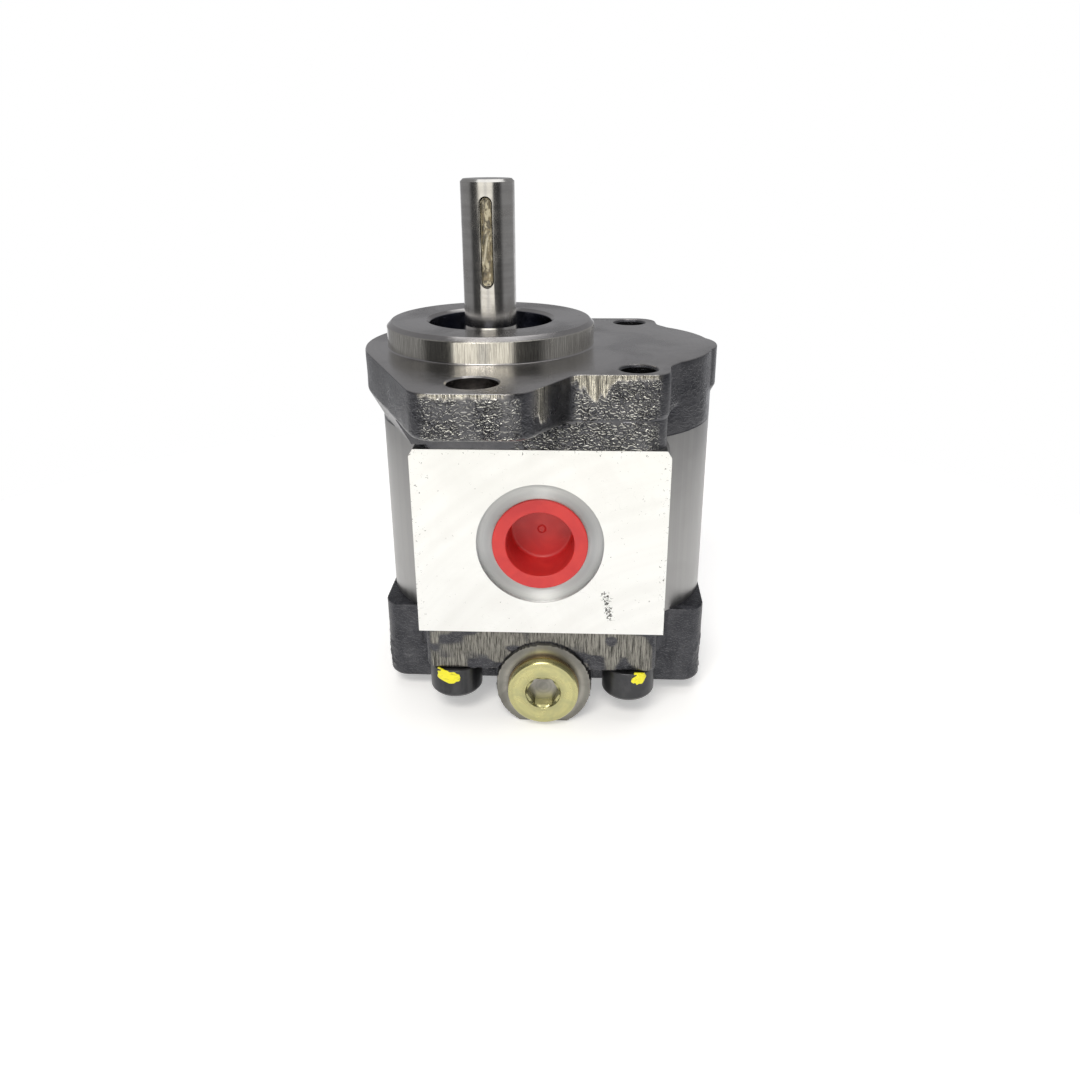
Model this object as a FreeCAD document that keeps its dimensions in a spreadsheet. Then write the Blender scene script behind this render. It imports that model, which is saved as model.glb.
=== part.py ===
import FreeCAD, Part
import math
import os
import re
import Sketcher

# Hydraulic gear pump, external gears, millimetres.
# The origin is on the drive shaft's axis, at the flange's mounting face. +Z runs out along the
# shaft, +X points at the driven gear, and the ports open along -Y (inlet) and +Y (outlet).

SIZES = [
    # gears and shafts
    ("centre_distance", 27.0, "between the axes of the two gears"),
    ("tooth_count", 12, "teeth on each gear"),
    ("gear_width", 16.0, "along the axis"),
    ("tooth_thinning", 0.09, "taken off each tooth at the pitch circle, for backlash"),
    ("journal_radius", 8.0, "both shafts, in the bushes"),
    ("journal_chamfer", 0.8, "at the journals' ends"),
    ("journal_end_gap", 0.6, "from the journals' ends to the flange and the cover"),
    ("end_recess", 2.0, "in the flange, over the driven shaft's end"),
    ("shaft_radius", 6.35, "the free end, half an inch across"),
    ("shaft_length", 38.1, "from the mounting face to the end"),
    ("shaft_chamfer", 0.6, "at the free end"),
    ("seal_land_radius", 7.5, "under the shaft seal"),
    ("flare_top", 4.6, "where the free end starts to widen to the seal land"),
    ("flare_bottom", 1.7, "where the seal land starts"),
    ("keyway_width", 3.2, "milled slot, round at both ends"),
    ("keyway_depth", 1.9, "into the shaft"),
    ("keyway_bottom", 13.9, "above the mounting face"),
    ("keyway_length", 20.6, "end to end"),
    # clearances
    ("tip_gap", 0.06, "gear tips to the chamber"),
    ("running_gap", 0.03, "journals in their bushes, and the seal's lip on its land"),
    ("sliding_gap", 0.04, "bearing blocks in the chamber"),
    ("side_gap", 0.05, "bearing blocks to the gears' faces"),
    ("end_gap", 0.1, "bearing blocks to the flange and the cover"),
    ("fit_gap", 0.02, "pins, threads and seats in their holes"),
    ("groove_gap", 0.1, "seals in their grooves"),
    # housing
    ("housing_length", 46.0, "along the shaft"),
    ("housing_wall", 11.7, "round the gear chamber"),
    ("pad_chamfer_side", 1.0, "on the port block's upper corners, along X"),
    ("pad_chamfer_drop", 1.6, "on the port block's upper corners, along Z"),
    ("port_radius", 9.3, "of the port's threaded hole, at the thread's crests"),
    ("port_depth", 15.0, "of the threaded hole, from the pad"),
    ("port_drill_radius", 6.9, "the passage from the port into the gear chamber"),
    ("spotface_radius", 14.9, "round each port"),
    ("spotface_depth", 1.0, "below the pad"),
    ("gallery_radius", 2.4, "passages from the ports to the relief valve"),
    ("gallery_wall", 0.81, "between a gallery and the gear chamber"),
    # bearing blocks, bushes and seals
    ("bush_wall", 1.0, "wall of a journal bush"),
    ("balance_radius", 11.4, "middle line of a balance seal, round each shaft"),
    ("balance_width", 1.8, "of a balance seal"),
    ("balance_height", 1.5, "of a balance seal"),
    ("backup_height", 0.8, "of the strip that backs a balance seal"),
    ("ring_offset", 3.4, "of the housing seal's middle line, out from the chamber"),
    ("ring_width", 2.2, "of the housing seal"),
    ("ring_height", 1.7, "of the housing seal"),
    # flange
    ("flange_thickness", 17.0, "mounting face to the housing"),
    ("flange_rim", 5.6, "round the pilot"),
    ("flange_left", 3.1, "of the flange's left corner before rounding, past the pilot's rim"),
    ("flange_left_round", 1.9, "of the left corner's rounding, past the pilot's rim"),
    ("flange_right", 3.2, "of the flange's right corner before rounding, past the housing"),
    ("block_draft", 0.6, "of the block's right side, outwards to the neck"),
    ("plate_depth", 16.0, "of the flange's plate, round the body"),
    ("plate_slope_in", 3.5, "of the slope round the plate's lower edge, along the face"),
    ("plate_slope_up", 6.6, "of the slope round the plate's lower edge, along Z"),
    ("ear_depth", 10.3, "of the ears, mounting face to underside"),
    ("ear_margin", 9.6, "past the middle of a mounting hole"),
    ("ear_half_width", 11.2, "of an ear's flat end"),
    ("ear_round", 7.0, "at an ear's corners"),
    ("shoulder_half", 21.0, "where the right-hand block of the flange starts"),
    ("neck_half", 24.8, "where the block meets the flange's rounded end"),
    ("block_inset_side", 0.9, "of the flange's block, inside the port block, along X"),
    ("block_inset_front", 0.15, "of the flange's block, behind the pad"),
    ("pilot_radius", 25.4, "two inch pilot"),
    ("pilot_height", 6.0, "above the mounting face"),
    ("pilot_chamfer", 1.1, "at the pilot's upper edge"),
    ("mounting_spacing", 82.55, "between the two mounting holes"),
    ("mounting_radius", 5.6, "of a mounting hole"),
    ("seal_radius", 15.0, "outside of the shaft seal"),
    ("seal_width", 7.0, "of the shaft seal"),
    ("seal_top", 0.5, "of the shaft seal, above the mounting face"),
    ("seal_shoulder", 10.5, "radius of the hole that the seal's seat leaves"),
    ("seal_shoulder_depth", 3.0, "below the seal"),
    ("shaft_clearance", 0.4, "round the drive shaft in the flange"),
    # body bolts and dowels
    ("bolt_radius", 4.0, "M8"),
    ("bolt_gap", 0.4, "round a bolt in its clearance hole"),
    ("bolt_outboard", 8.2, "of a bolt, past the shafts' axes, along X"),
    ("bolt_wall", 12.0, "of a bolt's axis, out from the gear chamber, along Y"),
    ("bolt_margin_side", 7.75, "from a bolt's axis to the side of the port block"),
    ("bolt_margin_front", 6.2, "from a bolt's axis to the pad"),
    ("bolt_head_radius", 6.5, "cap head"),
    ("bolt_head_height", 8.0, "cap head"),
    ("bolt_head_chamfer", 0.8, "at the cap head's end"),
    ("bolt_socket", 6.0, "hexagon across the flats"),
    ("bolt_socket_depth", 4.2, "hexagon socket"),
    ("bolt_end_depth", 5.0, "of a bolt's end, below the mounting face"),
    ("bolt_mouth_radius", 4.5, "of a threaded hole's countersunk mouth"),
    ("dowel_radius", 2.0, "dowel pins"),
    ("dowel_length", 10.0, "dowel pins, half in each part"),
    ("dowel_offset", 8.0, "of a dowel's axis, out from the chamber"),
    # rear cover and relief valve
    ("cover_thickness", 11.0, "of the cover's plate"),
    ("cover_face_side", 1.1, "of the cover's front block, inside the port block, along X"),
    ("cover_face_front", 1.0, "of the cover's front block, behind the pad"),
    ("cover_face_round", 2.5, "at the front block's corners"),
    ("cover_drop", 10.3, "of the thick middle, below the plate"),
    ("cover_head_gap", 0.8, "from a bolt's head to the thick middle"),
    ("cover_round", 5.0, "at the thick middle's corners"),
    ("cover_edge", 1.4, "rounding of the thick middle's lower edge"),
    ("relief_side", 0.7, "of the relief valve's axis, off the middle of the pump, along X"),
    ("relief_drop", 15.0, "of the relief valve's axis, below the housing"),
    ("boss_radius", 11.7, "of the relief valve's boss"),
    ("boss_flat", 10.0, "from the relief valve's axis to the flat that the pump stands on"),
    ("boss_back", 22.0, "of the boss's far end, behind the plane of the shafts"),
    ("relief_bore", 5.5, "radius of the relief valve's bore"),
    ("relief_passage", 3.8, "radius of the bore behind the seat"),
    ("relief_thread", 7.0, "radius of the plug's thread"),
    ("relief_thread_length", 12.0, "of the plug's thread"),
    ("plug_collar_radius", 8.6, "of the relief valve's plug"),
    ("plug_collar_width", 2.2, "of the relief valve's plug"),
    ("plug_washer", 1.0, "thickness of the sealing washer under the collar"),
    ("plug_socket", 7.3, "hexagon across the flats"),
    ("plug_socket_depth", 5.0, "hexagon socket"),
    ("spring_pocket_radius", 4.2, "in the plug and in the poppet"),
    ("spring_pocket_plug", 4.0, "depth of the pocket in the plug"),
    ("spring_pocket_poppet", 3.0, "depth of the pocket in the poppet"),
    ("spring_radius", 3.4, "middle of the spring's wire"),
    ("spring_wire", 0.55, "radius of the spring's wire"),
    ("spring_pitch", 2.9, "of the relief spring at rest"),
    ("poppet_guide", 5.0, "length of the poppet's guide"),
    ("poppet_nose", 5.0, "length of the poppet's cone"),
    ("poppet_cone_base", 4.2, "radius where the cone starts"),
    ("poppet_cone_tip", 1.8, "radius of the cone's tip"),
    ("poppet_flat", 4.8, "from the poppet's axis to the flats that oil passes"),
    ("seat_bore", 2.6, "radius of the hole that the poppet closes"),
    ("seat_length", 6.0, "of the seat"),
    # plastic plugs in the ports
    ("cap_rim_radius", 11.2, "of a port plug's rim"),
    ("cap_rim", 0.9, "thickness of a port plug's rim"),
    ("cap_length", 10.5, "of a port plug, into the port"),
    ("cap_bore", 8.0, "radius of a port plug's cup"),
    ("cap_floor", 1.4, "thickness of a port plug's floor"),
]

# Lengths that follow from the sizes, as expressions of them.
DERIVED = {
    "middle_x": "centre_distance / 2",
    "gear_module": "centre_distance / tooth_count",
    "tip_radius": "centre_distance / 2 + gear_module",
    "root_radius": "centre_distance / 2 - 1.25 * gear_module",
    "chamber_radius": "tip_radius + tip_gap",
    "housing_radius": "chamber_radius + housing_wall",
    "housing_front": "-flange_thickness",
    "housing_back": "-flange_thickness - housing_length",
    "journal_tip": "journal_radius - journal_chamfer",
    "journal_back": "housing_back + journal_end_gap",
    "journal_front": "housing_front - journal_end_gap",
    "gear_middle": "-flange_thickness - housing_length / 2",
    "gallery_offset": "sqrt((chamber_radius + gallery_wall + gallery_radius) ^ 2 - middle_x ^ 2)",
    "gear_front": "gear_middle + gear_width / 2",
    "gear_back": "gear_middle - gear_width / 2",
    "block_length": "(housing_length - gear_width) / 2 - side_gap - end_gap",
    "front_block_z": "gear_front + side_gap",
    "rear_block_z": "housing_back + end_gap",
    "block_radius": "chamber_radius - sliding_gap",
    "bush_radius": "journal_radius + running_gap + bush_wall",
    "bolt_left": "-bolt_outboard",
    "bolt_right": "centre_distance + bolt_outboard",
    "bolt_y": "chamber_radius + bolt_wall",
    "pad_y": "bolt_y + bolt_margin_front",
    "pad_left": "bolt_left - bolt_margin_side",
    "pad_right": "bolt_right + bolt_margin_side",
    "cover_back": "housing_back - cover_thickness",
    "middle_back": "cover_back - cover_drop",
    "middle_half": "bolt_y - bolt_head_radius - cover_head_gap",
    "relief_x": "middle_x + relief_side",
    "relief_z": "housing_back - relief_drop",
    "boss_front": "pad_y",
    "plug_end": "-boss_front + relief_thread_length",
    "seat_face": "poppet_nose * (poppet_cone_base - seat_bore) / (poppet_cone_base - poppet_cone_tip)"
                 " + running_gap",
    "seat_end": "seat_face + seat_length",
    "spring_start": "plug_end - spring_pocket_plug",
    "spring_end": "spring_pocket_poppet - poppet_guide",
    "flange_half": "pad_y - block_inset_front",
    "cover_half": "pad_y - cover_face_front",
    "ear_end": "mounting_spacing / 2 + ear_margin",
    "flange_tip": "pilot_radius + flange_rim",
    "ring_middle": "chamber_radius + ring_offset",
    "seal_bottom": "seal_top - seal_width",
}

UP = FreeCAD.Vector(0, 0, 1)
TOWARDS_FRONT = FreeCAD.Rotation(FreeCAD.Vector(1, 0, 0), 90)  # local +Z becomes -Y
TOWARDS_BACK = FreeCAD.Rotation(FreeCAD.Vector(1, 0, 0), -90)  # local +Z becomes +Y

doc = FreeCAD.newDocument("gear_pump")
sheet = doc.addObject("Spreadsheet::Sheet", "Sizes")
for row, (alias, number, note) in enumerate(SIZES, start=1):
    sheet.set(f"A{row}", note)
    sheet.set(f"B{row}", str(number))
    sheet.setAlias(f"B{row}", alias)
doc.recompute()
ALIASES = {alias for alias, number, note in SIZES}
pieces = []


def size(alias):
    return float(sheet.get(alias))


def bound(text):
    """An expression in plain names, with each name turned into its cell or its derivation."""
    def spelled(match):
        word = match.group(0)
        if word in ALIASES:
            return f"Sizes.{word}"
        if word in DERIVED:
            return f"({bound(DERIVED[word])})"
        return word
    return re.sub(r"[a-z][a-z_]+", spelled, str(text))


def place(obj, at=("0", "0", "0"), turn=None):
    if turn is not None:
        obj.Placement = FreeCAD.Placement(FreeCAD.Vector(), turn)
    for letter, text in zip("xyz", at):
        obj.setExpression(f".Placement.Base.{letter}", bound(text))
    return obj


def cylinder(name, radius, length, at=("0", "0", "0"), turn=None, angle=None):
    obj = doc.addObject("Part::Cylinder", name)
    obj.setExpression("Radius", bound(radius))
    obj.setExpression("Height", bound(length))
    if angle is not None:
        obj.Angle = angle
    return place(obj, at, turn)


def box(name, lengths, at):
    obj = doc.addObject("Part::Box", name)
    for prop, text in zip(("Length", "Width", "Height"), lengths):
        obj.setExpression(prop, bound(text))
    return place(obj, at)


def hexagon(name, across_flats, length, at, turn=None):
    obj = doc.addObject("Part::Prism", name)
    obj.Polygon = 6
    obj.setExpression("Circumradius", bound(f"({across_flats}) / {math.sqrt(3):.6f}"))
    obj.setExpression("Height", bound(length))
    return place(obj, at, turn)


def fuse(name, shapes):
    obj = doc.addObject("Part::MultiFuse", name)
    obj.Shapes = shapes
    obj.Refine = True
    return obj


def cut(name, base, tools):
    obj = doc.addObject("Part::Cut", name)
    obj.Base = base
    obj.Tool = tools[0] if len(tools) == 1 else fuse(name + "_tools", tools)
    return obj


def group(name, shapes):
    """Separate solids that share one node."""
    obj = doc.addObject("Part::Compound", name)
    obj.Links = shapes
    return obj


def piece(label, obj):
    obj.Label = label
    pieces.append(obj)
    return obj


def sketch_in(body, role, name, offset="0"):
    sketch = body.newObject("Sketcher::SketchObject", name)
    plane = [p for p in body.Origin.OriginFeatures if p.Role == role][0]
    sketch.AttachmentSupport = [(plane, "")]
    sketch.MapMode = "FlatFace"
    sketch.setExpression(".AttachmentOffset.Base.z", bound(offset))
    return sketch


def polygon(sketch, points):
    """A closed outline. Each corner is tied to the sketch's origin by two expressions."""
    count = len(points)
    turn = 2 * math.pi / count
    start = [FreeCAD.Vector(math.cos(i * turn), math.sin(i * turn), 0) for i in range(count)]
    for i in range(count):
        sketch.addGeometry(Part.LineSegment(start[i], start[(i + 1) % count]), False)
    for i in range(count):
        sketch.addConstraint(Sketcher.Constraint("Coincident", i, 2, (i + 1) % count, 1))
    for i, (across, up) in enumerate(points):
        for kind, text in (("DistanceX", across), ("DistanceY", up)):
            number = sketch.addConstraint(Sketcher.Constraint(kind, -1, 1, i, 1, 1.0))
            sketch.setExpression(f"Constraints[{number}]", bound(text))


def lathe(name, points, at=("0", "0", "0"), turn=None):
    """A turned part: corners as (radius, height) round the local Z axis."""
    body = doc.addObject("PartDesign::Body", name)
    sketch = sketch_in(body, "XZ_Plane", name + "_profile")
    polygon(sketch, points)
    turned = body.newObject("PartDesign::Revolution", name + "_turned")
    turned.Profile = sketch
    turned.ReferenceAxis = (sketch, ["V_Axis"])
    turned.Angle = 360.0
    sketch.Visibility = False
    return place(body, at, turn)


def tube(name, outer, inner, bottom, top, at=("0", "0", "0"), turn=None):
    corners = [(inner, bottom), (outer, bottom), (outer, top), (inner, top)]
    return lathe(name, corners, at, turn)


def prism(name, corners, bottom, length, role="XY_Plane", edge=None):
    """A padded outline. Each corner is (x, y, rounding or None). edge rounds or slopes the rim of
    the starting face: ("round", radius) or ("slope", inwards, upwards)."""
    body = doc.addObject("PartDesign::Body", name)
    sketch = sketch_in(body, role, name + "_outline", bottom)
    polygon(sketch, [(across, up) for across, up, rounding in corners])
    last = body.newObject("PartDesign::Pad", name + "_pad")
    last.Profile = sketch
    last.setExpression("Length", bound(length))
    doc.recompute()
    spots = [sketch.Placement.multVec(sketch.Geometry[i].StartPoint) for i in range(len(corners))]
    normal = sketch.Placement.Rotation.multVec(UP)
    for rounding in sorted({r for across, up, r in corners if r}):
        wanted = [spot for spot, corner in zip(spots, corners) if corner[2] == rounding]
        names = []
        for number, rim in enumerate(last.Shape.Edges, start=1):
            ends = [v.Point for v in rim.Vertexes]
            along = len(ends) == 2 and abs((ends[1] - ends[0]).normalize().dot(normal)) > 0.999
            if along and any((ends[0] - w).cross(normal).Length < 1e-4 for w in wanted):
                names.append(f"Edge{number}")
        fillet = body.newObject("PartDesign::Fillet", f"{name}_round{len(body.Group)}")
        fillet.Base = (last, names)
        fillet.setExpression("Radius", bound(rounding))
        doc.recompute()
        last = fillet
    if edge:
        level = spots[0].dot(normal)
        names = [f"Edge{number}" for number, rim in enumerate(last.Shape.Edges, start=1)
                 if all(abs(v.Point.dot(normal) - level) < 1e-4 for v in rim.Vertexes)]
        if edge[0] == "round":
            rim = body.newObject("PartDesign::Fillet", name + "_edge")
            rim.Base = (last, names)
            rim.setExpression("Radius", bound(edge[1]))
        else:
            rim = body.newObject("PartDesign::Chamfer", name + "_edge")
            rim.Base = (last, names)
            rim.ChamferType = "Two distances"
            rim.setExpression("Size", bound(edge[1]))
            rim.setExpression("Size2", bound(edge[2]))
        doc.recompute()
        last = rim
    body.Tip = last
    sketch.Visibility = False
    return body


def figure_eight(name, radius, bottom, length):
    """Two equal cylinders on the two gear axes."""
    left = cylinder(name + "_left", radius, length, ("0", "0", bottom))
    right = cylinder(name + "_right", radius, length, ("centre_distance", "0", bottom))
    return fuse(name, [left, right])


def stadium(name, radius, bottom, length):
    left = cylinder(name + "_left", radius, length, ("0", "0", bottom))
    right = cylinder(name + "_right", radius, length, ("centre_distance", "0", bottom))
    middle = box(name + "_middle", ("centre_distance", f"2 * ({radius})", length),
                 ("0", f"-({radius})", bottom))
    return fuse(name, [left, right, middle])


def stadium_ring(name, half_width, bottom, length):
    outer = stadium(name + "_outer", f"ring_middle + {half_width}", bottom, length)
    inner = stadium(name + "_inner", f"ring_middle - ({half_width})", bottom, length)
    return cut(name, outer, [inner])


def balance_shape(name, half_width, bottom, length):
    """The figure three of a balance seal: an arc under each shaft and a bridge between them."""
    arcs = []
    for side, x, start in (("left", "0", 180.0), ("right", "centre_distance", 210.0)):
        turn = FreeCAD.Rotation(UP, start)
        outer = cylinder(f"{name}_{side}_outer", f"balance_radius + {half_width}", length,
                         (x, "0", bottom), turn, angle=150.0)
        inner = cylinder(f"{name}_{side}_inner", f"balance_radius - ({half_width})", length,
                         (x, "0", bottom))
        arcs.append(cut(f"{name}_{side}", outer, [inner]))
    # the arcs end 30 degrees below the plane of the shafts
    reach = f"balance_radius * {math.cos(math.radians(30)):.6f}"
    drop = f"balance_radius * {math.sin(math.radians(30)):.6f}"
    bridge = box(name + "_bridge", (f"centre_distance - 2 * {reach}", f"2 * ({half_width})", length),
                 (reach, f"-{drop} - ({half_width})", bottom))
    return fuse(name, arcs + [bridge])


def bolt_places():
    return [(x, y) for x in ("bolt_left", "bolt_right") for y in ("-bolt_y", "bolt_y")]


def dowel_places():
    """One beyond each gear axis, on opposite sides of the plane of the shafts."""
    reach = f"(chamber_radius + dowel_offset) * {math.cos(math.radians(30)):.6f}"
    rise = f"(chamber_radius + dowel_offset) * {math.sin(math.radians(30)):.6f}"
    return [(f"-{reach}", rise), (f"centre_distance + {reach}", f"-{rise}")]


def holes(name, places, radius, bottom, length):
    return [cylinder(f"{name}_{i}", radius, length, (x, y, bottom))
            for i, (x, y) in enumerate(places, start=1)]


def body_outline(name, half_depth, left, right, bottom, length, rounding=None):
    """The section that flange, housing and cover share: two barrels and the port block."""
    barrels = figure_eight(name + "_barrels", "housing_radius", bottom, length)
    corners = [(left, f"-({half_depth})", rounding), (right, f"-({half_depth})", rounding),
               (right, half_depth, rounding), (left, half_depth, rounding)]
    block = prism(name + "_block", corners, bottom, length)
    return fuse(name, [barrels, block])


def gear(name, x, turn_degrees):
    """An involute spur gear, 25 degree pressure angle, with radial roots below the base circle."""
    teeth = int(size("tooth_count"))
    pitch = size("centre_distance") / 2
    module = 2 * pitch / teeth
    base = pitch * math.cos(math.radians(25))
    tip = pitch + module
    root = pitch - 1.25 * module
    width = size("gear_width")

    def involute(radius):
        slope = math.sqrt(max((radius / base) ** 2 - 1, 0))
        return slope - math.atan(slope)

    half_tooth = (math.pi * module / 2 - size("tooth_thinning")) / 2 / pitch
    half_at_base = half_tooth + involute(pitch)

    def at(radius, angle):
        return FreeCAD.Vector(radius * math.cos(angle), radius * math.sin(angle), 0)

    edges = []
    flank_points = 9
    radii = [base + (tip - base) * (i / (flank_points - 1)) ** 2 for i in range(flank_points)]
    for tooth in range(teeth):
        middle = 2 * math.pi * tooth / teeth + math.radians(turn_degrees)
        rising = [at(r, middle - half_at_base + involute(r)) for r in radii]
        falling = [at(r, middle + half_at_base - involute(r)) for r in reversed(radii)]
        root_in = at(root, middle - half_at_base)
        root_out = at(root, middle + half_at_base)
        next_root = at(root, middle + 2 * math.pi / teeth - half_at_base)
        valley = at(root, middle + math.pi / teeth)
        for points in (rising, falling):
            curve = Part.BSplineCurve()
            curve.interpolate(points)
            edges.append(curve.toShape())
        edges.append(Part.makeLine(root_in, rising[0]))
        edges.append(Part.Arc(rising[-1], at(tip, middle), falling[0]).toShape())
        edges.append(Part.makeLine(falling[-1], root_out))
        edges.append(Part.Arc(root_out, valley, next_root).toShape())
    wire = Part.Wire(Part.__sortEdges__(edges))
    obj = doc.addObject("Part::Feature", name)
    obj.Shape = Part.Face(wire).extrude(FreeCAD.Vector(0, 0, width))
    return place(obj, (x, "0", "gear_back"))


def front_flange():
    slopes = ("slope", "plate_slope_in", "plate_slope_up")
    half = [("-flange_tip - flange_left", "0", "flange_tip + flange_left_round"),
            ("-ear_half_width", "-ear_end", "ear_round"),
            ("ear_half_width", "-ear_end", "ear_round"),
            ("shoulder_half", "-flange_half", "ear_round / 2"),
            ("pad_right - block_inset_side", "-flange_half", "ear_round / 1.4"),
            ("pad_right - block_inset_side + block_draft", "-neck_half", "ear_round / 2"),
            ("centre_distance + housing_radius + flange_right", "0", "flange_tip / 2.6")]
    other = [(x, f"-({y})", r) for x, y, r in reversed(half[1:-1])]
    outline = prism("flange_outline", half + other, "-plate_depth", "plate_depth", edge=slopes)
    under = [box(f"ear_underside_{side}", ("4 * flange_tip", "ear_end", "flange_thickness"),
                 ("-2 * flange_tip", y, "-ear_depth - flange_thickness"))
             for side, y in (("front", "-flange_half - ear_end"), ("rear", "flange_half"))]
    plate = cut("flange_plate", outline, under)
    neck = body_outline("flange_neck", "flange_half", "pad_left + block_inset_side",
                        "pad_right - block_inset_side", "housing_front", "flange_thickness",
                        "ear_round / 1.4")
    pilot = lathe("flange_pilot", [("0", "-1"), ("pilot_radius", "-1"),
                                   ("pilot_radius", "pilot_height - pilot_chamfer"),
                                   ("pilot_radius - pilot_chamfer", "pilot_height"),
                                   ("0", "pilot_height")])
    casting = fuse("flange_casting", [plate, neck, pilot])
    bore = lathe("flange_bore", [("0", "housing_front - 1"),
                                 ("journal_radius + shaft_clearance", "housing_front - 1"),
                                 ("journal_radius + shaft_clearance",
                                  "seal_bottom - seal_shoulder_depth"),
                                 ("seal_shoulder", "seal_bottom - seal_shoulder_depth"),
                                 ("seal_shoulder", "seal_bottom"),
                                 ("seal_radius", "seal_bottom"),
                                 ("seal_radius", "pilot_height - 0.8"),
                                 ("seal_radius + 0.8", "pilot_height"),
                                 ("seal_radius + 0.8", "pilot_height + 1"),
                                 ("0", "pilot_height + 1")])
    mounting = holes("mounting_hole", [("0", "-mounting_spacing / 2"), ("0", "mounting_spacing / 2")],
                     "mounting_radius", "housing_front - 1", "flange_thickness + 2")
    blind = holes("blind_thread", [("bolt_left", "-bolt_y"), ("bolt_left", "bolt_y")],
                  "bolt_radius + fit_gap", "housing_front - 1", "flange_thickness - 3")
    through = holes("through_thread", [("bolt_right", "-bolt_y"), ("bolt_right", "bolt_y")],
                    "bolt_radius + fit_gap", "housing_front - 1", "flange_thickness + 2")
    mouths = [lathe(f"thread_mouth_{i}", [("0", "-1.2"), ("bolt_mouth_radius - 1.2", "-1.2"),
                                          ("bolt_mouth_radius + 1", "1"), ("0", "1")],
                    ("bolt_right", y, "0")) for i, y in enumerate(("-bolt_y", "bolt_y"), start=1)]
    dowels = holes("flange_dowel_hole", dowel_places(), "dowel_radius + fit_gap",
                   "housing_front - 1", "dowel_length / 2 + 1.5")
    groove = stadium_ring("flange_groove", "ring_width / 2 + groove_gap", "housing_front - 1",
                          "ring_height + 1")
    drain = [cylinder("driven_end_recess", "journal_radius + 1", "end_recess + 1",
                      ("centre_distance", "0", "housing_front - 1"))]
    tools = [bore] + mounting + blind + through + mouths + dowels + [groove] + drain
    piece("front_flange", cut("front_flange", casting, tools))


def gear_housing():
    barrels = figure_eight("housing_barrels", "housing_radius", "housing_back", "housing_length")
    corners = [("pad_left", "housing_back", None), ("pad_right", "housing_back", None),
               ("pad_right", "housing_front - pad_chamfer_drop", None),
               ("pad_right - pad_chamfer_side", "housing_front", None),
               ("pad_left + pad_chamfer_side", "housing_front", None),
               ("pad_left", "housing_front - pad_chamfer_drop", None)]
    block = prism("housing_block", corners, "-pad_y", "2 * pad_y", role="XZ_Plane")
    casting = fuse("housing_blank", [barrels, block])
    tools = [figure_eight("chamber", "chamber_radius", "housing_back - 1", "housing_length + 2")]
    for side, turn, sign in (("inlet", TOWARDS_FRONT, "-"), ("outlet", TOWARDS_BACK, "")):
        start = f"{sign}(pad_y - port_depth)"
        tools.append(cylinder(side + "_thread", "port_radius", "port_depth + 1",
                              ("middle_x", start, "gear_middle"), turn))
        tools.append(cylinder(side + "_spotface", "spotface_radius", "spotface_depth + 1",
                              ("middle_x", f"{sign}(pad_y - spotface_depth)", "gear_middle"), turn))
        tools.append(cylinder(side + "_drill", "port_drill_radius", "pad_y",
                              ("middle_x", "0", "gear_middle"), turn))
        tools.append(cylinder(side + "_gallery", "gallery_radius",
                              "gear_middle - housing_back + 1",
                              ("middle_x", f"{sign}gallery_offset", "housing_back - 1")))
    tools += holes("housing_bolt_hole", bolt_places(), "bolt_radius + bolt_gap",
                   "housing_back - 1", "housing_length + 2")
    for end, bottom in (("front", "housing_front - dowel_length / 2 - 0.5"),
                        ("rear", "housing_back - 0.5")):
        tools += holes(f"housing_{end}_dowel_hole", dowel_places(), "dowel_radius + fit_gap",
                       bottom, "dowel_length / 2 + 1")
    piece("gear_housing", cut("gear_housing", casting, tools))


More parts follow.
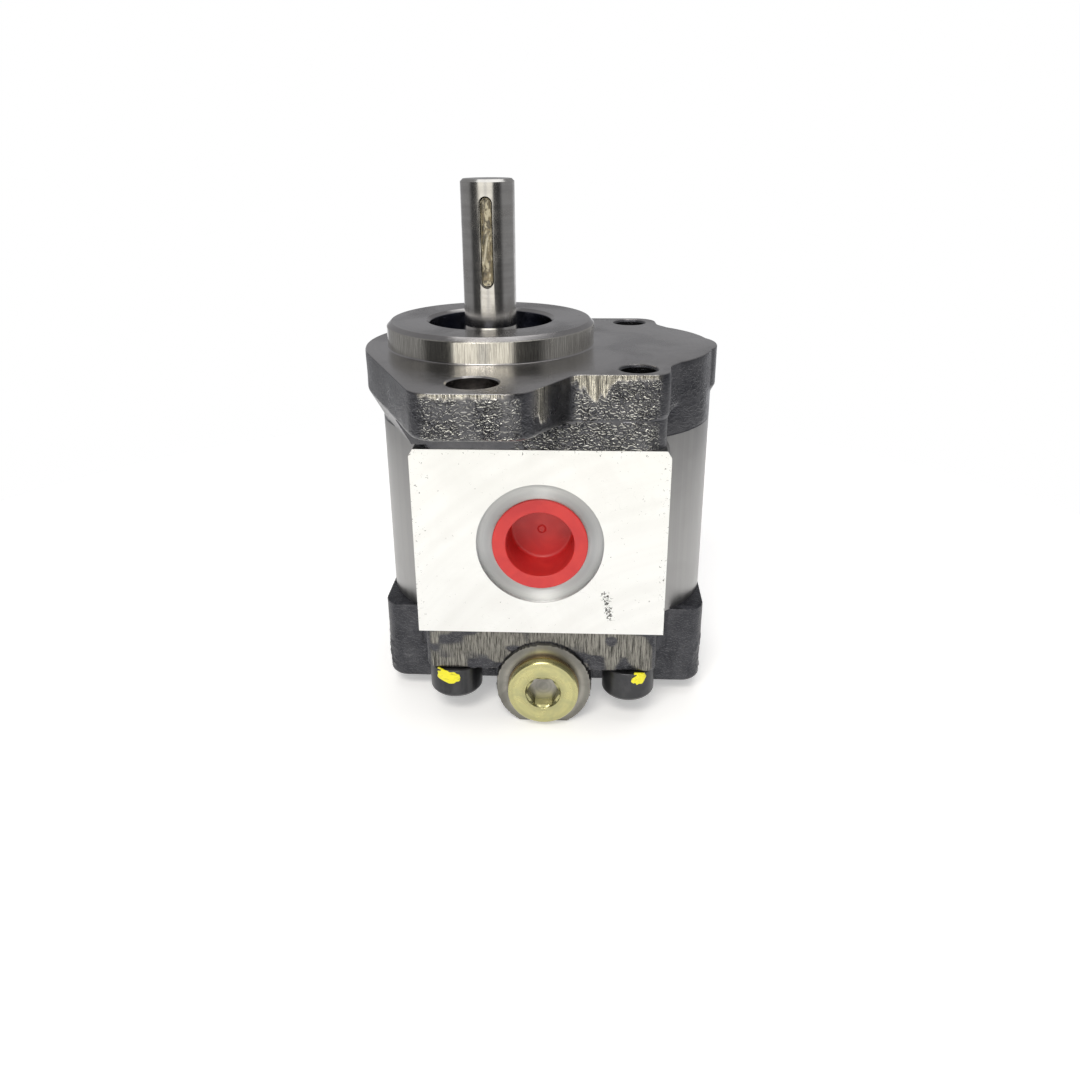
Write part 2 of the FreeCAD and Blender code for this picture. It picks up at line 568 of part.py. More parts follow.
def rear_cover():
    plate = body_outline("cover_plate", "cover_half", "pad_left + cover_face_side",
                         "pad_right - cover_face_side", "cover_back", "cover_thickness",
                         "cover_face_round")
    left = "-housing_radius + 0.2"
    right = "centre_distance + housing_radius - 0.2"
    corners = [(left, "-middle_half", "cover_round"), (right, "-middle_half", "cover_round"),
               (right, "middle_half", "cover_round"), (left, "middle_half", "cover_round")]
    middle = prism("cover_middle", corners, "middle_back", "cover_drop + cover_thickness",
                   edge=("round", "cover_edge"))
    bar = cylinder("cover_bar", "boss_radius", "boss_front + boss_back",
                   ("relief_x", "boss_back", "relief_z"), TOWARDS_FRONT)
    shavings = box("cover_bar_waste", ("4 * boss_radius", "boss_front + boss_back + 2",
                                       "boss_radius"),
                   ("relief_x - 2 * boss_radius", "-boss_front - 1",
                    "relief_z - boss_flat - boss_radius"))
    above = box("cover_bar_top", ("4 * boss_radius", "boss_front + boss_back + 2",
                                  "2 * boss_radius"),
                ("relief_x - 2 * boss_radius", "-boss_front - 1", "housing_back"))
    boss = cut("cover_boss", bar, [shavings, above])
    casting = fuse("cover_casting", [plate, middle, boss])
    cavity = lathe("relief_cavity", [("0", "-boss_front - 1"),
                                     ("relief_thread + fit_gap", "-boss_front - 1"),
                                     ("relief_thread + fit_gap", "plug_end + 1"),
                                     ("relief_bore + fit_gap", "plug_end + 2"),
                                     ("relief_bore + fit_gap", "seat_end"),
                                     ("relief_passage", "seat_end"),
                                     ("relief_passage", "gallery_offset + gallery_radius + 1"),
                                     ("0", "gallery_offset + gallery_radius + 1")],
                   ("relief_x", "0", "relief_z"), TOWARDS_BACK)
    galleries = [cylinder(f"cover_gallery_{i}", "gallery_radius", "relief_drop + 1",
                          ("middle_x", y, "relief_z"))
                 for i, y in enumerate(("-gallery_offset", "gallery_offset"), start=1)]
    bolts = holes("cover_bolt_hole", bolt_places(), "bolt_radius + bolt_gap", "cover_back - 1",
                  "cover_thickness + 2")
    dowels = holes("cover_dowel_hole", dowel_places(), "dowel_radius + fit_gap",
                   "housing_back - dowel_length / 2 - 0.5", "dowel_length / 2 + 1.5")
    groove = stadium_ring("cover_groove", "ring_width / 2 + groove_gap",
                          "housing_back - ring_height", "ring_height + 1")
    tools = [cavity] + galleries + bolts + dowels + [groove]
    piece("rear_cover", cut("rear_cover", casting, tools))


def shafts():
    blank = lathe("drive_shaft_blank", [("0", "journal_back"),
                                        ("journal_tip", "journal_back"),
                                        ("journal_radius", "journal_back + journal_chamfer"),
                                        ("journal_radius", "seal_bottom - 1.5"),
                                        ("seal_land_radius", "seal_bottom - 1"),
                                        ("seal_land_radius", "flare_bottom"),
                                        ("shaft_radius", "flare_top"),
                                        ("shaft_radius", "shaft_length - shaft_chamfer"),
                                        ("shaft_radius - shaft_chamfer", "shaft_length"),
                                        ("0", "shaft_length")])
    toothed = fuse("drive_gear_blank", [blank, gear("drive_gear_teeth", "0", 0.0)])
    slot_start = "-shaft_radius + keyway_depth"
    round_ends = [cylinder(f"keyway_end_{i}", "keyway_width / 2", "keyway_depth + 1",
                           ("0", slot_start, z), TOWARDS_FRONT)
                  for i, z in enumerate(("keyway_bottom + keyway_width / 2",
                                         "keyway_bottom + keyway_length - keyway_width / 2"))]
    straight = box("keyway_middle", ("keyway_width", "keyway_depth + 1",
                                     "keyway_length - keyway_width"),
                   ("-keyway_width / 2", "-shaft_radius - 1", "keyway_bottom + keyway_width / 2"))
    piece("drive_gear_shaft", cut("drive_gear_shaft", toothed, round_ends + [straight]))
    journal = lathe("driven_shaft_blank", [("0", "journal_back"),
                                           ("journal_tip", "journal_back"),
                                           ("journal_radius", "journal_back + journal_chamfer"),
                                           ("journal_radius", "journal_front - journal_chamfer"),
                                           ("journal_tip", "journal_front"),
                                           ("0", "journal_front")],
                    ("centre_distance", "0", "0"))
    half_pitch = 180.0 / size("tooth_count")
    teeth = gear("driven_gear_teeth", "centre_distance", half_pitch)
    piece("driven_gear_shaft", fuse("driven_gear_shaft", [journal, teeth]))


def bearings():
    for end, bottom in (("front", "front_block_z"), ("rear", "rear_block_z")):
        blank = figure_eight(f"{end}_block_blank", "block_radius", bottom, "block_length")
        bores = holes(f"{end}_block_bore", [("0", "0"), ("centre_distance", "0")], "bush_radius",
                      f"{bottom} - 1", "block_length + 2")
        depth = "balance_height + backup_height"
        if end == "front":
            outside = f"{bottom} + block_length - ({depth})"
            seal_z, strip_z = outside, f"{outside} + balance_height"
        else:
            outside = f"{bottom} - 1"
            seal_z, strip_z = f"{bottom} + backup_height", bottom
        groove = balance_shape(f"{end}_groove", "balance_width / 2 + groove_gap", outside,
                               f"{depth} + 1")
        piece(f"{end}_bearing_block", cut(f"{end}_bearing_block", blank, bores + [groove]))
        piece(f"{end}_balance_seal", balance_shape(f"{end}_balance_seal", "balance_width / 2",
                                                   seal_z, "balance_height"))
        piece(f"{end}_backup_strip", balance_shape(f"{end}_backup_strip", "balance_width / 2",
                                                   strip_z, "backup_height"))
        for gear_name, x in (("drive", "0"), ("driven", "centre_distance")):
            name = f"{gear_name}_{end}_bush"
            piece(name, tube(name, "bush_radius", "journal_radius + running_gap", bottom,
                             f"{bottom} + block_length", (x, "0", "0")))


def seals():
    piece("front_housing_seal", stadium_ring("front_housing_seal", "ring_width / 2",
                                             "housing_front", "ring_height"))
    piece("rear_housing_seal", stadium_ring("rear_housing_seal", "ring_width / 2",
                                            "housing_back - ring_height", "ring_height"))
    # The shaft seal's rubber wraps a steel case and carries a main lip and a dust lip.
    lip = "seal_land_radius + running_gap"
    piece("shaft_seal", lathe("shaft_seal", [
        ("seal_radius", "seal_bottom"), ("seal_radius", "seal_top"),
        ("seal_land_radius + 3.4", "seal_top"), ("seal_land_radius + 2.6", "seal_top - 0.9"),
        (lip + " + 0.4", "seal_top - 0.5"), (lip, "seal_top - 1.0"),
        ("seal_land_radius + 1.9", "seal_top - 2.0"), ("seal_land_radius + 1.2", "seal_top - 3.0"),
        (lip, "seal_top - 3.8"), ("seal_land_radius + 0.9", "seal_bottom + 1.4"),
        ("seal_land_radius + 1.7", "seal_bottom + 1.4"),
        ("seal_land_radius + 1.7", "seal_bottom + 2.8"),
        ("seal_land_radius + 3.0", "seal_bottom + 2.8"),
        ("seal_land_radius + 3.0", "seal_top - 1.6"), ("seal_radius - 1.6", "seal_top - 1.6"),
        ("seal_radius - 1.6", "seal_bottom")]))
    piece("seal_case", lathe("seal_case", [
        ("seal_radius - 1.6", "seal_bottom + 0.1"), ("seal_radius - 1.6", "seal_top - 1.6"),
        ("seal_land_radius + 3.0", "seal_top - 1.6"), ("seal_land_radius + 3.0", "seal_top - 2.4"),
        ("seal_radius - 2.4", "seal_top - 2.4"), ("seal_radius - 2.4", "seal_bottom + 0.1")]))
    ring = doc.addObject("Part::Torus", "garter_spring")
    ring.setExpression("Radius1", bound("seal_land_radius + 2.35"))
    ring.setExpression("Radius2", bound("0.6"))
    piece("garter_spring", place(ring, ("0", "0", "seal_bottom + 2.15")))


def fasteners():
    bolts = []
    end = "-bolt_end_depth"
    for i, (x, y) in enumerate(bolt_places(), start=1):
        turned = lathe(f"bolt_{i}_turned", [
            ("0", "cover_back - bolt_head_height"),
            ("bolt_head_radius - bolt_head_chamfer", "cover_back - bolt_head_height"),
            ("bolt_head_radius", "cover_back - bolt_head_height + bolt_head_chamfer"),
            ("bolt_head_radius", "cover_back"), ("bolt_radius", "cover_back"),
            ("bolt_radius", f"{end} - 1"), ("bolt_radius - 1", end), ("0", end)], (x, y, "0"))
        socket = hexagon(f"bolt_{i}_socket", "bolt_socket", "bolt_socket_depth + 1",
                         (x, y, "cover_back - bolt_head_height - 1"))
        bolts.append(cut(f"bolt_{i}", turned, [socket]))
    piece("body_bolts", group("body_bolts", bolts))
    for node, joint in (("front_dowels", "housing_front"), ("rear_dowels", "housing_back")):
        pins = holes(node + "_pin", dowel_places(), "dowel_radius", f"{joint} - dowel_length / 2",
                     "dowel_length")
        piece(node, group(node, pins))


def port_plugs():
    """Push-in plastic plugs. Local Z = 0 is the spotface, and the rim stands out along local +Z."""
    for name, sign, turn in (("inlet_port_plug", "-", TOWARDS_FRONT),
                             ("outlet_port_plug", "", TOWARDS_BACK)):
        piece(name, lathe(name, [("0", "-cap_length"), ("port_radius - 0.5", "-cap_length"),
                                 ("port_radius - 0.1", "-cap_length + 3"),
                                 ("port_radius - 0.1", "0"), ("cap_rim_radius", "0"),
                                 ("cap_rim_radius", "cap_rim - 0.3"),
                                 ("cap_rim_radius - 0.3", "cap_rim"), ("cap_bore", "cap_rim"),
                                 ("cap_bore - 0.3", "-cap_length + cap_floor"),
                                 ("0", "-cap_length + cap_floor")],
                          ("middle_x", f"{sign}(pad_y - spotface_depth)", "gear_middle"), turn))


def relief_valve():
    """The valve lies along Y. In its own frame +Z is +Y: plug first, then spring, poppet, seat."""
    axis = ("relief_x", "0", "relief_z")
    face = "-boss_front - plug_washer - plug_collar_width"
    turned = lathe("relief_plug_turned", [
        ("0", face), ("plug_collar_radius - 0.5", face), ("plug_collar_radius", f"{face} + 0.5"),
        ("plug_collar_radius", "-boss_front - plug_washer"),
        ("relief_thread", "-boss_front - plug_washer"), ("relief_thread", "plug_end - 0.8"),
        ("relief_thread - 0.8", "plug_end"), ("spring_pocket_radius", "plug_end"),
        ("spring_pocket_radius", "spring_start"), ("0", "spring_start")], axis, TOWARDS_BACK)
    socket = hexagon("relief_plug_socket", "plug_socket", "plug_socket_depth + 1",
                     ("relief_x", f"{face} - 1", "relief_z"), TOWARDS_BACK)
    piece("relief_plug", cut("relief_plug", turned, [socket]))
    piece("relief_plug_washer", tube("relief_plug_washer", "plug_collar_radius + 0.15",
                                     "relief_thread + 0.15", "-boss_front - plug_washer",
                                     "-boss_front", axis, TOWARDS_BACK))
    poppet = lathe("poppet_turned", [
        ("0", "spring_end"), ("spring_pocket_radius", "spring_end"),
        ("spring_pocket_radius", "-poppet_guide"), ("relief_bore - 0.05", "-poppet_guide"),
        ("relief_bore - 0.05", "-0.6"), ("poppet_cone_base", "0"),
        ("poppet_cone_tip", "poppet_nose"), ("0", "poppet_nose")], axis, TOWARDS_BACK)
    sides = [box(f"poppet_flat_{i}", ("4 * relief_bore", "poppet_guide + poppet_nose + 2",
                                      "relief_bore"),
                 ("relief_x - 2 * relief_bore", "-poppet_guide - 1", z))
             for i, z in enumerate(("relief_z + poppet_flat",
                                    "relief_z - poppet_flat - relief_bore"), start=1)]
    piece("relief_poppet", cut("relief_poppet", poppet, sides))
    piece("relief_seat", tube("relief_seat", "relief_bore", "seat_bore", "seat_face", "seat_end",
                              axis, TOWARDS_BACK))
    # the spring's wire stays clear of the pocket floors at both ends
    length = "spring_end - spring_start - 2 * spring_wire - 0.2"
    helix = doc.addObject("Part::Helix", "spring_path")
    helix.setExpression("Radius", bound("spring_radius"))
    helix.setExpression("Pitch", bound("spring_pitch"))
    helix.setExpression("Height", bound(length))
    wire = doc.addObject("Part::Circle", "spring_section")
    wire.setExpression("Radius", bound("spring_wire"))
    wire.Placement = FreeCAD.Placement(FreeCAD.Vector(size("spring_radius"), 0, 0), TOWARDS_FRONT)
    wire.setExpression(".Placement.Base.x", bound("spring_radius"))
    spring = doc.addObject("Part::Sweep", "relief_spring")
    spring.Sections = [wire]
    spring.Spine = (helix, ["Edge1"])
    spring.Solid = True
    spring.Frenet = True
    place(spring, ("relief_x", "spring_start + spring_wire + 0.1", "relief_z"), TOWARDS_BACK)
    piece("relief_spring", spring)


for make in (front_flange, gear_housing, rear_cover, shafts, bearings, seals, fasteners,
             port_plugs, relief_valve):
    make()
doc.recompute()

for obj in doc.Objects:
    bad = {"Invalid", "Error"} & set(obj.State)
    if bad:
        raise RuntimeError(f"{obj.Label} is {sorted(bad)}")
for obj in pieces:
    if obj.Shape.isNull() or not obj.Shape.isValid() or not obj.Shape.Solids:
        raise RuntimeError(f"{obj.Label} has no valid solid")

os.makedirs("parts", exist_ok=True)
for obj in pieces:
    obj.Shape.exportStep(f"parts/{obj.Label}.step")
    box_of = obj.Shape.BoundBox
    print(f"{obj.Label:22s} {len(obj.Shape.Solids)} solid(s) {obj.Shape.Volume:10.1f} mm3  "
          f"x {box_of.XMin:.2f}..{box_of.XMax:.2f} y {box_of.YMin:.2f}..{box_of.YMax:.2f} "
          f"z {box_of.ZMin:.2f}..{box_of.ZMax:.2f}")
print(len(pieces), "pieces")
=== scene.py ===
import math

import bmesh
import bpy
import numpy as np
from mathutils import Matrix, Vector


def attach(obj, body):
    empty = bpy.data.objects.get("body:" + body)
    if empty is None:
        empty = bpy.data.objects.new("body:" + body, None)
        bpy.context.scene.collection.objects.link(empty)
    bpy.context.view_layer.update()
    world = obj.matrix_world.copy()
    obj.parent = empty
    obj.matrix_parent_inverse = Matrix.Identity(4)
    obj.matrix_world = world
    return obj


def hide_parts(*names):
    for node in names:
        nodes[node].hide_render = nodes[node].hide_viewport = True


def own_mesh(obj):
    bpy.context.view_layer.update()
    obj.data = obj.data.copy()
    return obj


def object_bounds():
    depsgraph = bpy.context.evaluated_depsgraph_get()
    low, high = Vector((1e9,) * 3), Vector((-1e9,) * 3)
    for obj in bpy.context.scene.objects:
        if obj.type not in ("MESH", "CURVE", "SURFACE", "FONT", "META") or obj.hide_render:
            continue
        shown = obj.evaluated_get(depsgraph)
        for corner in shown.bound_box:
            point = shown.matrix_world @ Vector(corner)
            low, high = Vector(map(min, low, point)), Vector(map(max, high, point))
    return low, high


# Hydraulic gear pump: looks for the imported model. Metres, +Z up along the drive shaft.

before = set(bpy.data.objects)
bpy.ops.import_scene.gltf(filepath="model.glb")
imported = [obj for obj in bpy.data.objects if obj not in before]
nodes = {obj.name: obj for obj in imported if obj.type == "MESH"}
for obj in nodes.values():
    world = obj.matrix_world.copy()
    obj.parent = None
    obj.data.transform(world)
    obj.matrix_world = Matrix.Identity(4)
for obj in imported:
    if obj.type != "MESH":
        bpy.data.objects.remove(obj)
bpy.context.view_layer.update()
mm = 0.001
portCentre = (13.5, 0.0, -40.0)
valveCentre = (14.2, 0.0, -78.0)
print("frame loaded,", len(nodes), "nodes")


def addNode(tree, kind, inputs=None, **settings):
    # one shader node: settings are its properties, inputs its sockets, by number or name
    node = tree.nodes.new(kind)
    for key, value in settings.items():
        setattr(node, key, value)
    for key, value in (inputs or {}).items():
        if isinstance(value, bpy.types.NodeSocket):
            tree.links.new(value, node.inputs[key])
        else:
            node.inputs[key].default_value = value
    return node


def calc(tree, operation, a, b=0.0, c=0.0, clamp=False):
    node = addNode(tree, "ShaderNodeMath", {0: a, 1: b, 2: c}, operation=operation, use_clamp=clamp)
    return node.outputs[0]


def times(tree, a, b, clamp=False):
    return calc(tree, "MULTIPLY", a, b, clamp=clamp)


def timesPlus(tree, a, b, c):
    # a times b, plus c
    return calc(tree, "MULTIPLY_ADD", a, b, c)


def gap(tree, a, b):
    # how far a is from b
    return calc(tree, "ABSOLUTE", calc(tree, "SUBTRACT", a, b))


def fromAxis(tree, a, b):
    # distance from an axis, for the two coordinates across it
    return calc(tree, "SQRT", timesPlus(tree, a, a, times(tree, b, b)))


def blend(tree, share, a, b):
    return addNode(tree, "ShaderNodeMix", {0: share, 2: a, 3: b}).outputs[0]


def ramp(tree, value, low, high, a=0.0, b=1.0):
    # smooth step from a to b while value goes from low to high
    node = addNode(tree, "ShaderNodeMapRange", {0: value, 1: low, 2: high, 3: a, 4: b},
                   interpolation_type="SMOOTHSTEP")
    return node.outputs[0]


def mixColour(tree, share, a, b):
    return addNode(tree, "ShaderNodeMix", {0: share, 6: a, 7: b}, data_type="RGBA").outputs[2]


def partMix(tree, mask, amount, a, b):
    # from a to b where the mask is, no further than amount
    return mixColour(tree, times(tree, mask, amount), a, b)


def splitXyz(tree, vector):
    return addNode(tree, "ShaderNodeSeparateXYZ", {0: vector}).outputs


def maskFrom(tree, name):
    # the mask that a shape carries under this name
    return addNode(tree, "ShaderNodeAttribute", attribute_name=name).outputs["Fac"]


def placed(tree, vector, kind, centre=(0, 0, 0), turn=(0, 0, 0), scale=(1, 1, 1)):
    # a pattern's coordinates, centred and turned
    inputs = {0: vector, "Rotation": turn, "Scale": scale}
    if kind == "TEXTURE":
        inputs["Location"] = centre
    return addNode(tree, "ShaderNodeMapping", inputs, vector_type=kind).outputs[0]


def noise(tree, vector, scale, detail=4.0, roughness=0.55, distortion=0.0):
    node = addNode(tree, "ShaderNodeTexNoise",
                   {"Vector": vector, "Scale": scale, "Detail": detail,
                    "Roughness": roughness, "Distortion": distortion})
    return node.outputs[0]


def scaled(tree, vector, factors):
    node = addNode(tree, "ShaderNodeVectorMath", {0: vector, 1: factors}, operation="MULTIPLY")
    return node.outputs[0]


def grey(value, warmth=0.0):
    # a grey with more red and less blue as warmth rises
    return (value * (1 + warmth), value, value * (1 - warmth), 1.0)


def newGroup(name, inputs, outputs):
    # a shader node group with named sockets: (name, type, value) rows, and output names
    tree = bpy.data.node_groups.new(name, "ShaderNodeTree")
    for socketName, kind, value in inputs:
        socket = tree.interface.new_socket(name=socketName, in_out="INPUT", socket_type=kind)
        if value is not None:
            socket.default_value = value
    for socketName in outputs:
        tree.interface.new_socket(name=socketName, in_out="OUTPUT", socket_type="NodeSocketFloat")
    return tree, tree.nodes.new("NodeGroupInput").outputs, tree.nodes.new("NodeGroupOutput").inputs


vec, num = "NodeSocketVector", "NodeSocketFloat"


def makeCastGrain():
    # skin of a sand casting: a wrinkled skin, creased wherever a warped noise crosses its middle,
    # with small grains on it; the second output marks the wrinkles' upper flanks for a painted highlight, as
    # if lit from above
    tree, given, out = newGroup("castGrain", [("Vector", vec, None), ("Size", num, 1.2)],
                                ["Height", "RidgeHighlight", "Stain"])
    scale = calc(tree, "DIVIDE", 1.0, given["Size"])
    squeezed = scaled(tree, given["Vector"], (0.8, 0.8, 1.35))
    fine = noise(tree, given["Vector"], times(tree, scale, 3.4), 2.0, 0.6)

    def wrinkles(vector):
        wide = noise(tree, vector, scale, 1.0, 0.5, 0.8)
        return ramp(tree, gap(tree, wide, 0.5), 0.0, 0.17)

    here = wrinkles(squeezed)
    above = addNode(tree, "ShaderNodeVectorMath", {0: squeezed, 1: (0.05, -0.05, 0.3)}, operation="ADD")
    falling = calc(tree, "SUBTRACT", here, wrinkles(above.outputs[0]))
    tree.links.new(timesPlus(tree, here, 0.8, times(tree, fine, 0.35)), out["Height"])
    # painted highlight: the upper flanks of the wrinkles, as if lit from above
    litFlank = times(tree, ramp(tree, falling, 0.10, 0.55), ramp(tree, fine, 0.3, 0.55))
    tree.links.new(litFlank, out["RidgeHighlight"])
    stain = noise(tree, given["Vector"], times(tree, scale, 0.12), 5.0, 0.6)
    tree.links.new(ramp(tree, stain, 0.35, 0.7), out["Stain"])
    return tree


def makeTurnedMarks():
    # rings left by a lathe tool: bands that depend only on the distance from the Z axis
    tree, given, out = newGroup("turnedMarks", [("Vector", vec, None), ("Pitch", num, 0.3)],
                                ["Height", "Band"])
    split = splitXyz(tree, given["Vector"])
    radius = fromAxis(tree, split[0], split[1])
    along = addNode(tree, "ShaderNodeCombineXYZ", {0: calc(tree, "DIVIDE", radius, given["Pitch"])})
    fine = noise(tree, along.outputs[0], 1.0, 3.0, 0.7)
    broad = noise(tree, along.outputs[0], 0.13, 2.0, 0.5)
    tree.links.new(fine, out["Height"])
    tree.links.new(ramp(tree, broad, 0.35, 0.65), out["Band"])
    return tree


def makeDrawnLines():
    # fine lines along one axis: noise squeezed across it and stretched along it
    tree, given, out = newGroup("drawnLines",
                                [("Vector", vec, None), ("Across", num, 0.3), ("Along", num, 20.0)],
                                ["Height", "Streak"])
    split = splitXyz(tree, given["Vector"])
    parts = {axis: calc(tree, "DIVIDE", split[axis], given[way])
             for axis, way in enumerate(("Across", "Across", "Along"))}
    squeezed = addNode(tree, "ShaderNodeCombineXYZ", parts)
    fine = noise(tree, squeezed.outputs[0], 1.0, 4.0, 0.7)
    broad = noise(tree, squeezed.outputs[0], 0.22, 3.0, 0.6)
    tree.links.new(fine, out["Height"])
    tree.links.new(ramp(tree, broad, 0.4, 0.66), out["Streak"])
    return tree


def makeHandling():
    # what handling leaves: oily smears, thin scratches and tiny specks
    tree, given, out = newGroup("handling", [("Vector", vec, None), ("Size", num, 12.0)],
                                ["Smear", "Scratch", "Speck"])
    scale = calc(tree, "DIVIDE", 1.0, given["Size"])
    smear = noise(tree, given["Vector"], scale, 5.0, 0.6, 0.8)
    tree.links.new(ramp(tree, smear, 0.42, 0.68), out["Smear"])
    bent = noise(tree, given["Vector"], times(tree, scale, 1.7), 2.0, 0.5, 2.5)
    line = gap(tree, bent, 0.5)
    gate = ramp(tree, noise(tree, given["Vector"], times(tree, scale, 0.9), 2.0), 0.55, 0.7)
    tree.links.new(times(tree, ramp(tree, line, 0.0, 0.004, 1.0, 0.0), gate), out["Scratch"])
    cell = addNode(tree, "ShaderNodeTexVoronoi",
                   {"Vector": given["Vector"], "Scale": times(tree, scale, 4.0)})
    near = ramp(tree, cell.outputs["Distance"], 0.03, 0.07, 1.0, 0.0)
    pick = addNode(tree, "ShaderNodeSeparateColor", {0: cell.outputs["Color"]}).outputs[0]
    tree.links.new(times(tree, near, ramp(tree, pick, 0.8, 0.84)), out["Speck"])
    return tree


castGrain, turnedMarks = makeCastGrain(), makeTurnedMarks()
drawnLines, handling = makeDrawnLines(), makeHandling()


def effect(tree, group, **inputs):
    return addNode(tree, "ShaderNodeGroup", inputs, node_tree=group).outputs


def startMaterial(name, centre=(0, 0, 0), turn=(0, 0, 0), **shader):
    # a Principled material: its tree, shader node and Object coordinates in millimetres
    material = bpy.data.materials.new(name)
    material.use_nodes = True
    tree = material.node_tree
    node = tree.nodes["Principled BSDF"]
    for key, value in shader.items():
        node.inputs[key.replace("_", " ")].default_value = value
    coords = addNode(tree, "ShaderNodeTexCoord").outputs["Object"]
    place = placed(tree, coords, "TEXTURE", Vector(centre) * mm, turn, (mm, mm, mm))
    return material, tree, node, place


def drive(shader, name, value):
    # lets a computed value drive one of the shader's sockets
    shader.id_data.links.new(value, shader.inputs[name])


def bumped(tree, shader, height, depth, distance):
    node = addNode(tree, "ShaderNodeBump", {"Height": height, "Distance": distance,
                                            "Strength": depth})
    drive(shader, "Normal", node.outputs[0])


def turnedSheen(tree, shader, centre, axis, amount):
    # grooves round an axis spread a highlight away from it: the tangent points outwards from the
    # axis, leaning a little along it so that it also works on the walls
    coords = addNode(tree, "ShaderNodeTexCoord").outputs["Object"]
    away = addNode(tree, "ShaderNodeVectorMath", {0: coords, 1: Vector(centre) * mm}, operation="SUBTRACT")
    flat = scaled(tree, away.outputs[0], tuple(1.0 - part for part in axis))
    lean = addNode(tree, "ShaderNodeVectorMath", {0: flat, 1: Vector(axis) * 0.3 * mm}, operation="ADD")
    world = addNode(tree, "ShaderNodeVectorTransform", {0: lean.outputs[0]}, vector_type="VECTOR",
                    convert_from="OBJECT", convert_to="WORLD")
    unit = addNode(tree, "ShaderNodeVectorMath", {0: world.outputs[0]}, operation="NORMALIZE")
    drive(shader, "Tangent", unit.outputs[0])
    drive(shader, "Anisotropic", amount)


print("shared effects ready")


def latticeNoise(points, cell, seed):
    # smooth noise from 0 to 1: every lattice corner has its own random height,
    # and the eight corners round a point are blended with a smooth step
    p = points / cell
    whole = np.floor(p).astype(np.int64)
    part = p - whole
    part = part * part * (3 - 2 * part)
    total = np.zeros(p.shape[:-1])
    for dx in (0, 1):
        for dy in (0, 1):
            for dz in (0, 1):
                key = (whole[..., 0] + dx) * 73856093 ^ (whole[..., 1] + dy) * 19349663
                key = (key ^ (whole[..., 2] + dz) * 83492791 ^ seed * 2654435761) & 0xffffffff
                key = ((key >> 15) ^ key) * 0x2c1b3c6d & 0xffffffff
                key = ((key >> 12) ^ key) * 0x297a2d39 & 0xffffffff
                height = ((key >> 15) ^ key) % 65536 / 65535
                weight = (part[..., 0] if dx else 1 - part[..., 0])
                weight = weight * (part[..., 1] if dy else 1 - part[..., 1])
                weight = weight * (part[..., 2] if dz else 1 - part[..., 2])
                total += height * weight
    return total


def smooth(value, low, high):
    # smooth step: 0 below low, 1 above high
    share = np.clip((value - low) / (high - low), 0, 1)
    return share * share * (3 - 2 * share)


def gridNormals(points, aroundClosed):
    # cross product of the differences along the two grid directions (down, around)
    down = np.gradient(points, axis=0)
    if aroundClosed:
        around = (np.roll(points, -1, 1) - np.roll(points, 1, 1)) / 2
    else:
        around = np.gradient(points, axis=1)
    normal = np.cross(down, around)
    return normal / np.maximum(np.linalg.norm(normal, axis=-1, keepdims=True), 1e-12)


def meshFrom(name, points, faces, masks=None, smoothAngle=35):
    # points in millimetres; turns the faces round if the closed surface's volume is negative,
    # merges what coincides and shades smooth up to an angle
    points = np.asarray(points, float)
    mesh = bpy.data.meshes.new(name)
    mesh.from_pydata((points * mm).tolist(), [], faces)
    mesh.calc_loop_triangles()
    corners = np.zeros(len(mesh.loop_triangles) * 3, int)
    mesh.loop_triangles.foreach_get("vertices", corners)
    a, b, c = points[corners.reshape(-1, 3)].transpose(1, 0, 2)
    if np.einsum("ij,ij->i", a, np.cross(b, c)).sum() < 0:
        mesh.flip_normals()
    for key, values in (masks or {}).items():
        mesh.attributes.new(key, "FLOAT", "POINT").data.foreach_set("value", np.ravel(values))
    work = bmesh.new()
    work.from_mesh(mesh)
    bmesh.ops.remove_doubles(work, verts=work.verts, dist=1e-7)
    work.to_mesh(mesh)
    work.free()
    mesh.polygons.foreach_set("use_smooth", np.ones(len(mesh.polygons), bool))
    piece = bpy.data.objects.new(name, mesh)
    bpy.context.scene.collection.objects.link(piece)
    mesh.set_sharp_from_angle(angle=math.radians(smoothAngle))
    return piece


def gridFaces(rows, columns, rowsClosed, columnsClosed):
    # quads between neighbouring rows and columns of a grid, row by row
    i = np.arange(rows if rowsClosed else rows - 1)[:, None]
    j = np.arange(columns if columnsClosed else columns - 1)[None, :]
    i2, j2 = (i + 1) % rows, (j + 1) % columns
    quads = np.stack([i * columns + j, i * columns + j2, i2 * columns + j2, i2 * columns + j], -1)
    return quads.reshape(-1, 4).tolist()


def roundedProfile(corners, steps=5):
    # a profile's corners (x, y, radius), each replaced by an arc of that radius
    out = []
    for k, corner in enumerate(corners):
        here, radius = np.array(corner[:2], float), corner[2] if len(corner) > 2 else 0
        if radius == 0 or k in (0, len(corners) - 1):
            out.append(here)
            continue
        before = np.array(corners[k - 1][:2], float) - here
        after = np.array(corners[k + 1][:2], float) - here
        before, after = before / np.linalg.norm(before), after / np.linalg.norm(after)
        half = math.acos(np.clip(before @ after, -1, 1)) / 2
        middle = here + (before + after) / np.linalg.norm(before + after) * radius / math.sin(half)
        start = here + before * radius / math.tan(half) - middle
        end = here + after * radius / math.tan(half) - middle
        for t in np.linspace(0, 1, steps):
            arm = start * (1 - t) + end * t
            out.append(middle + arm / np.linalg.norm(arm) * radius)
    return np.array(out)


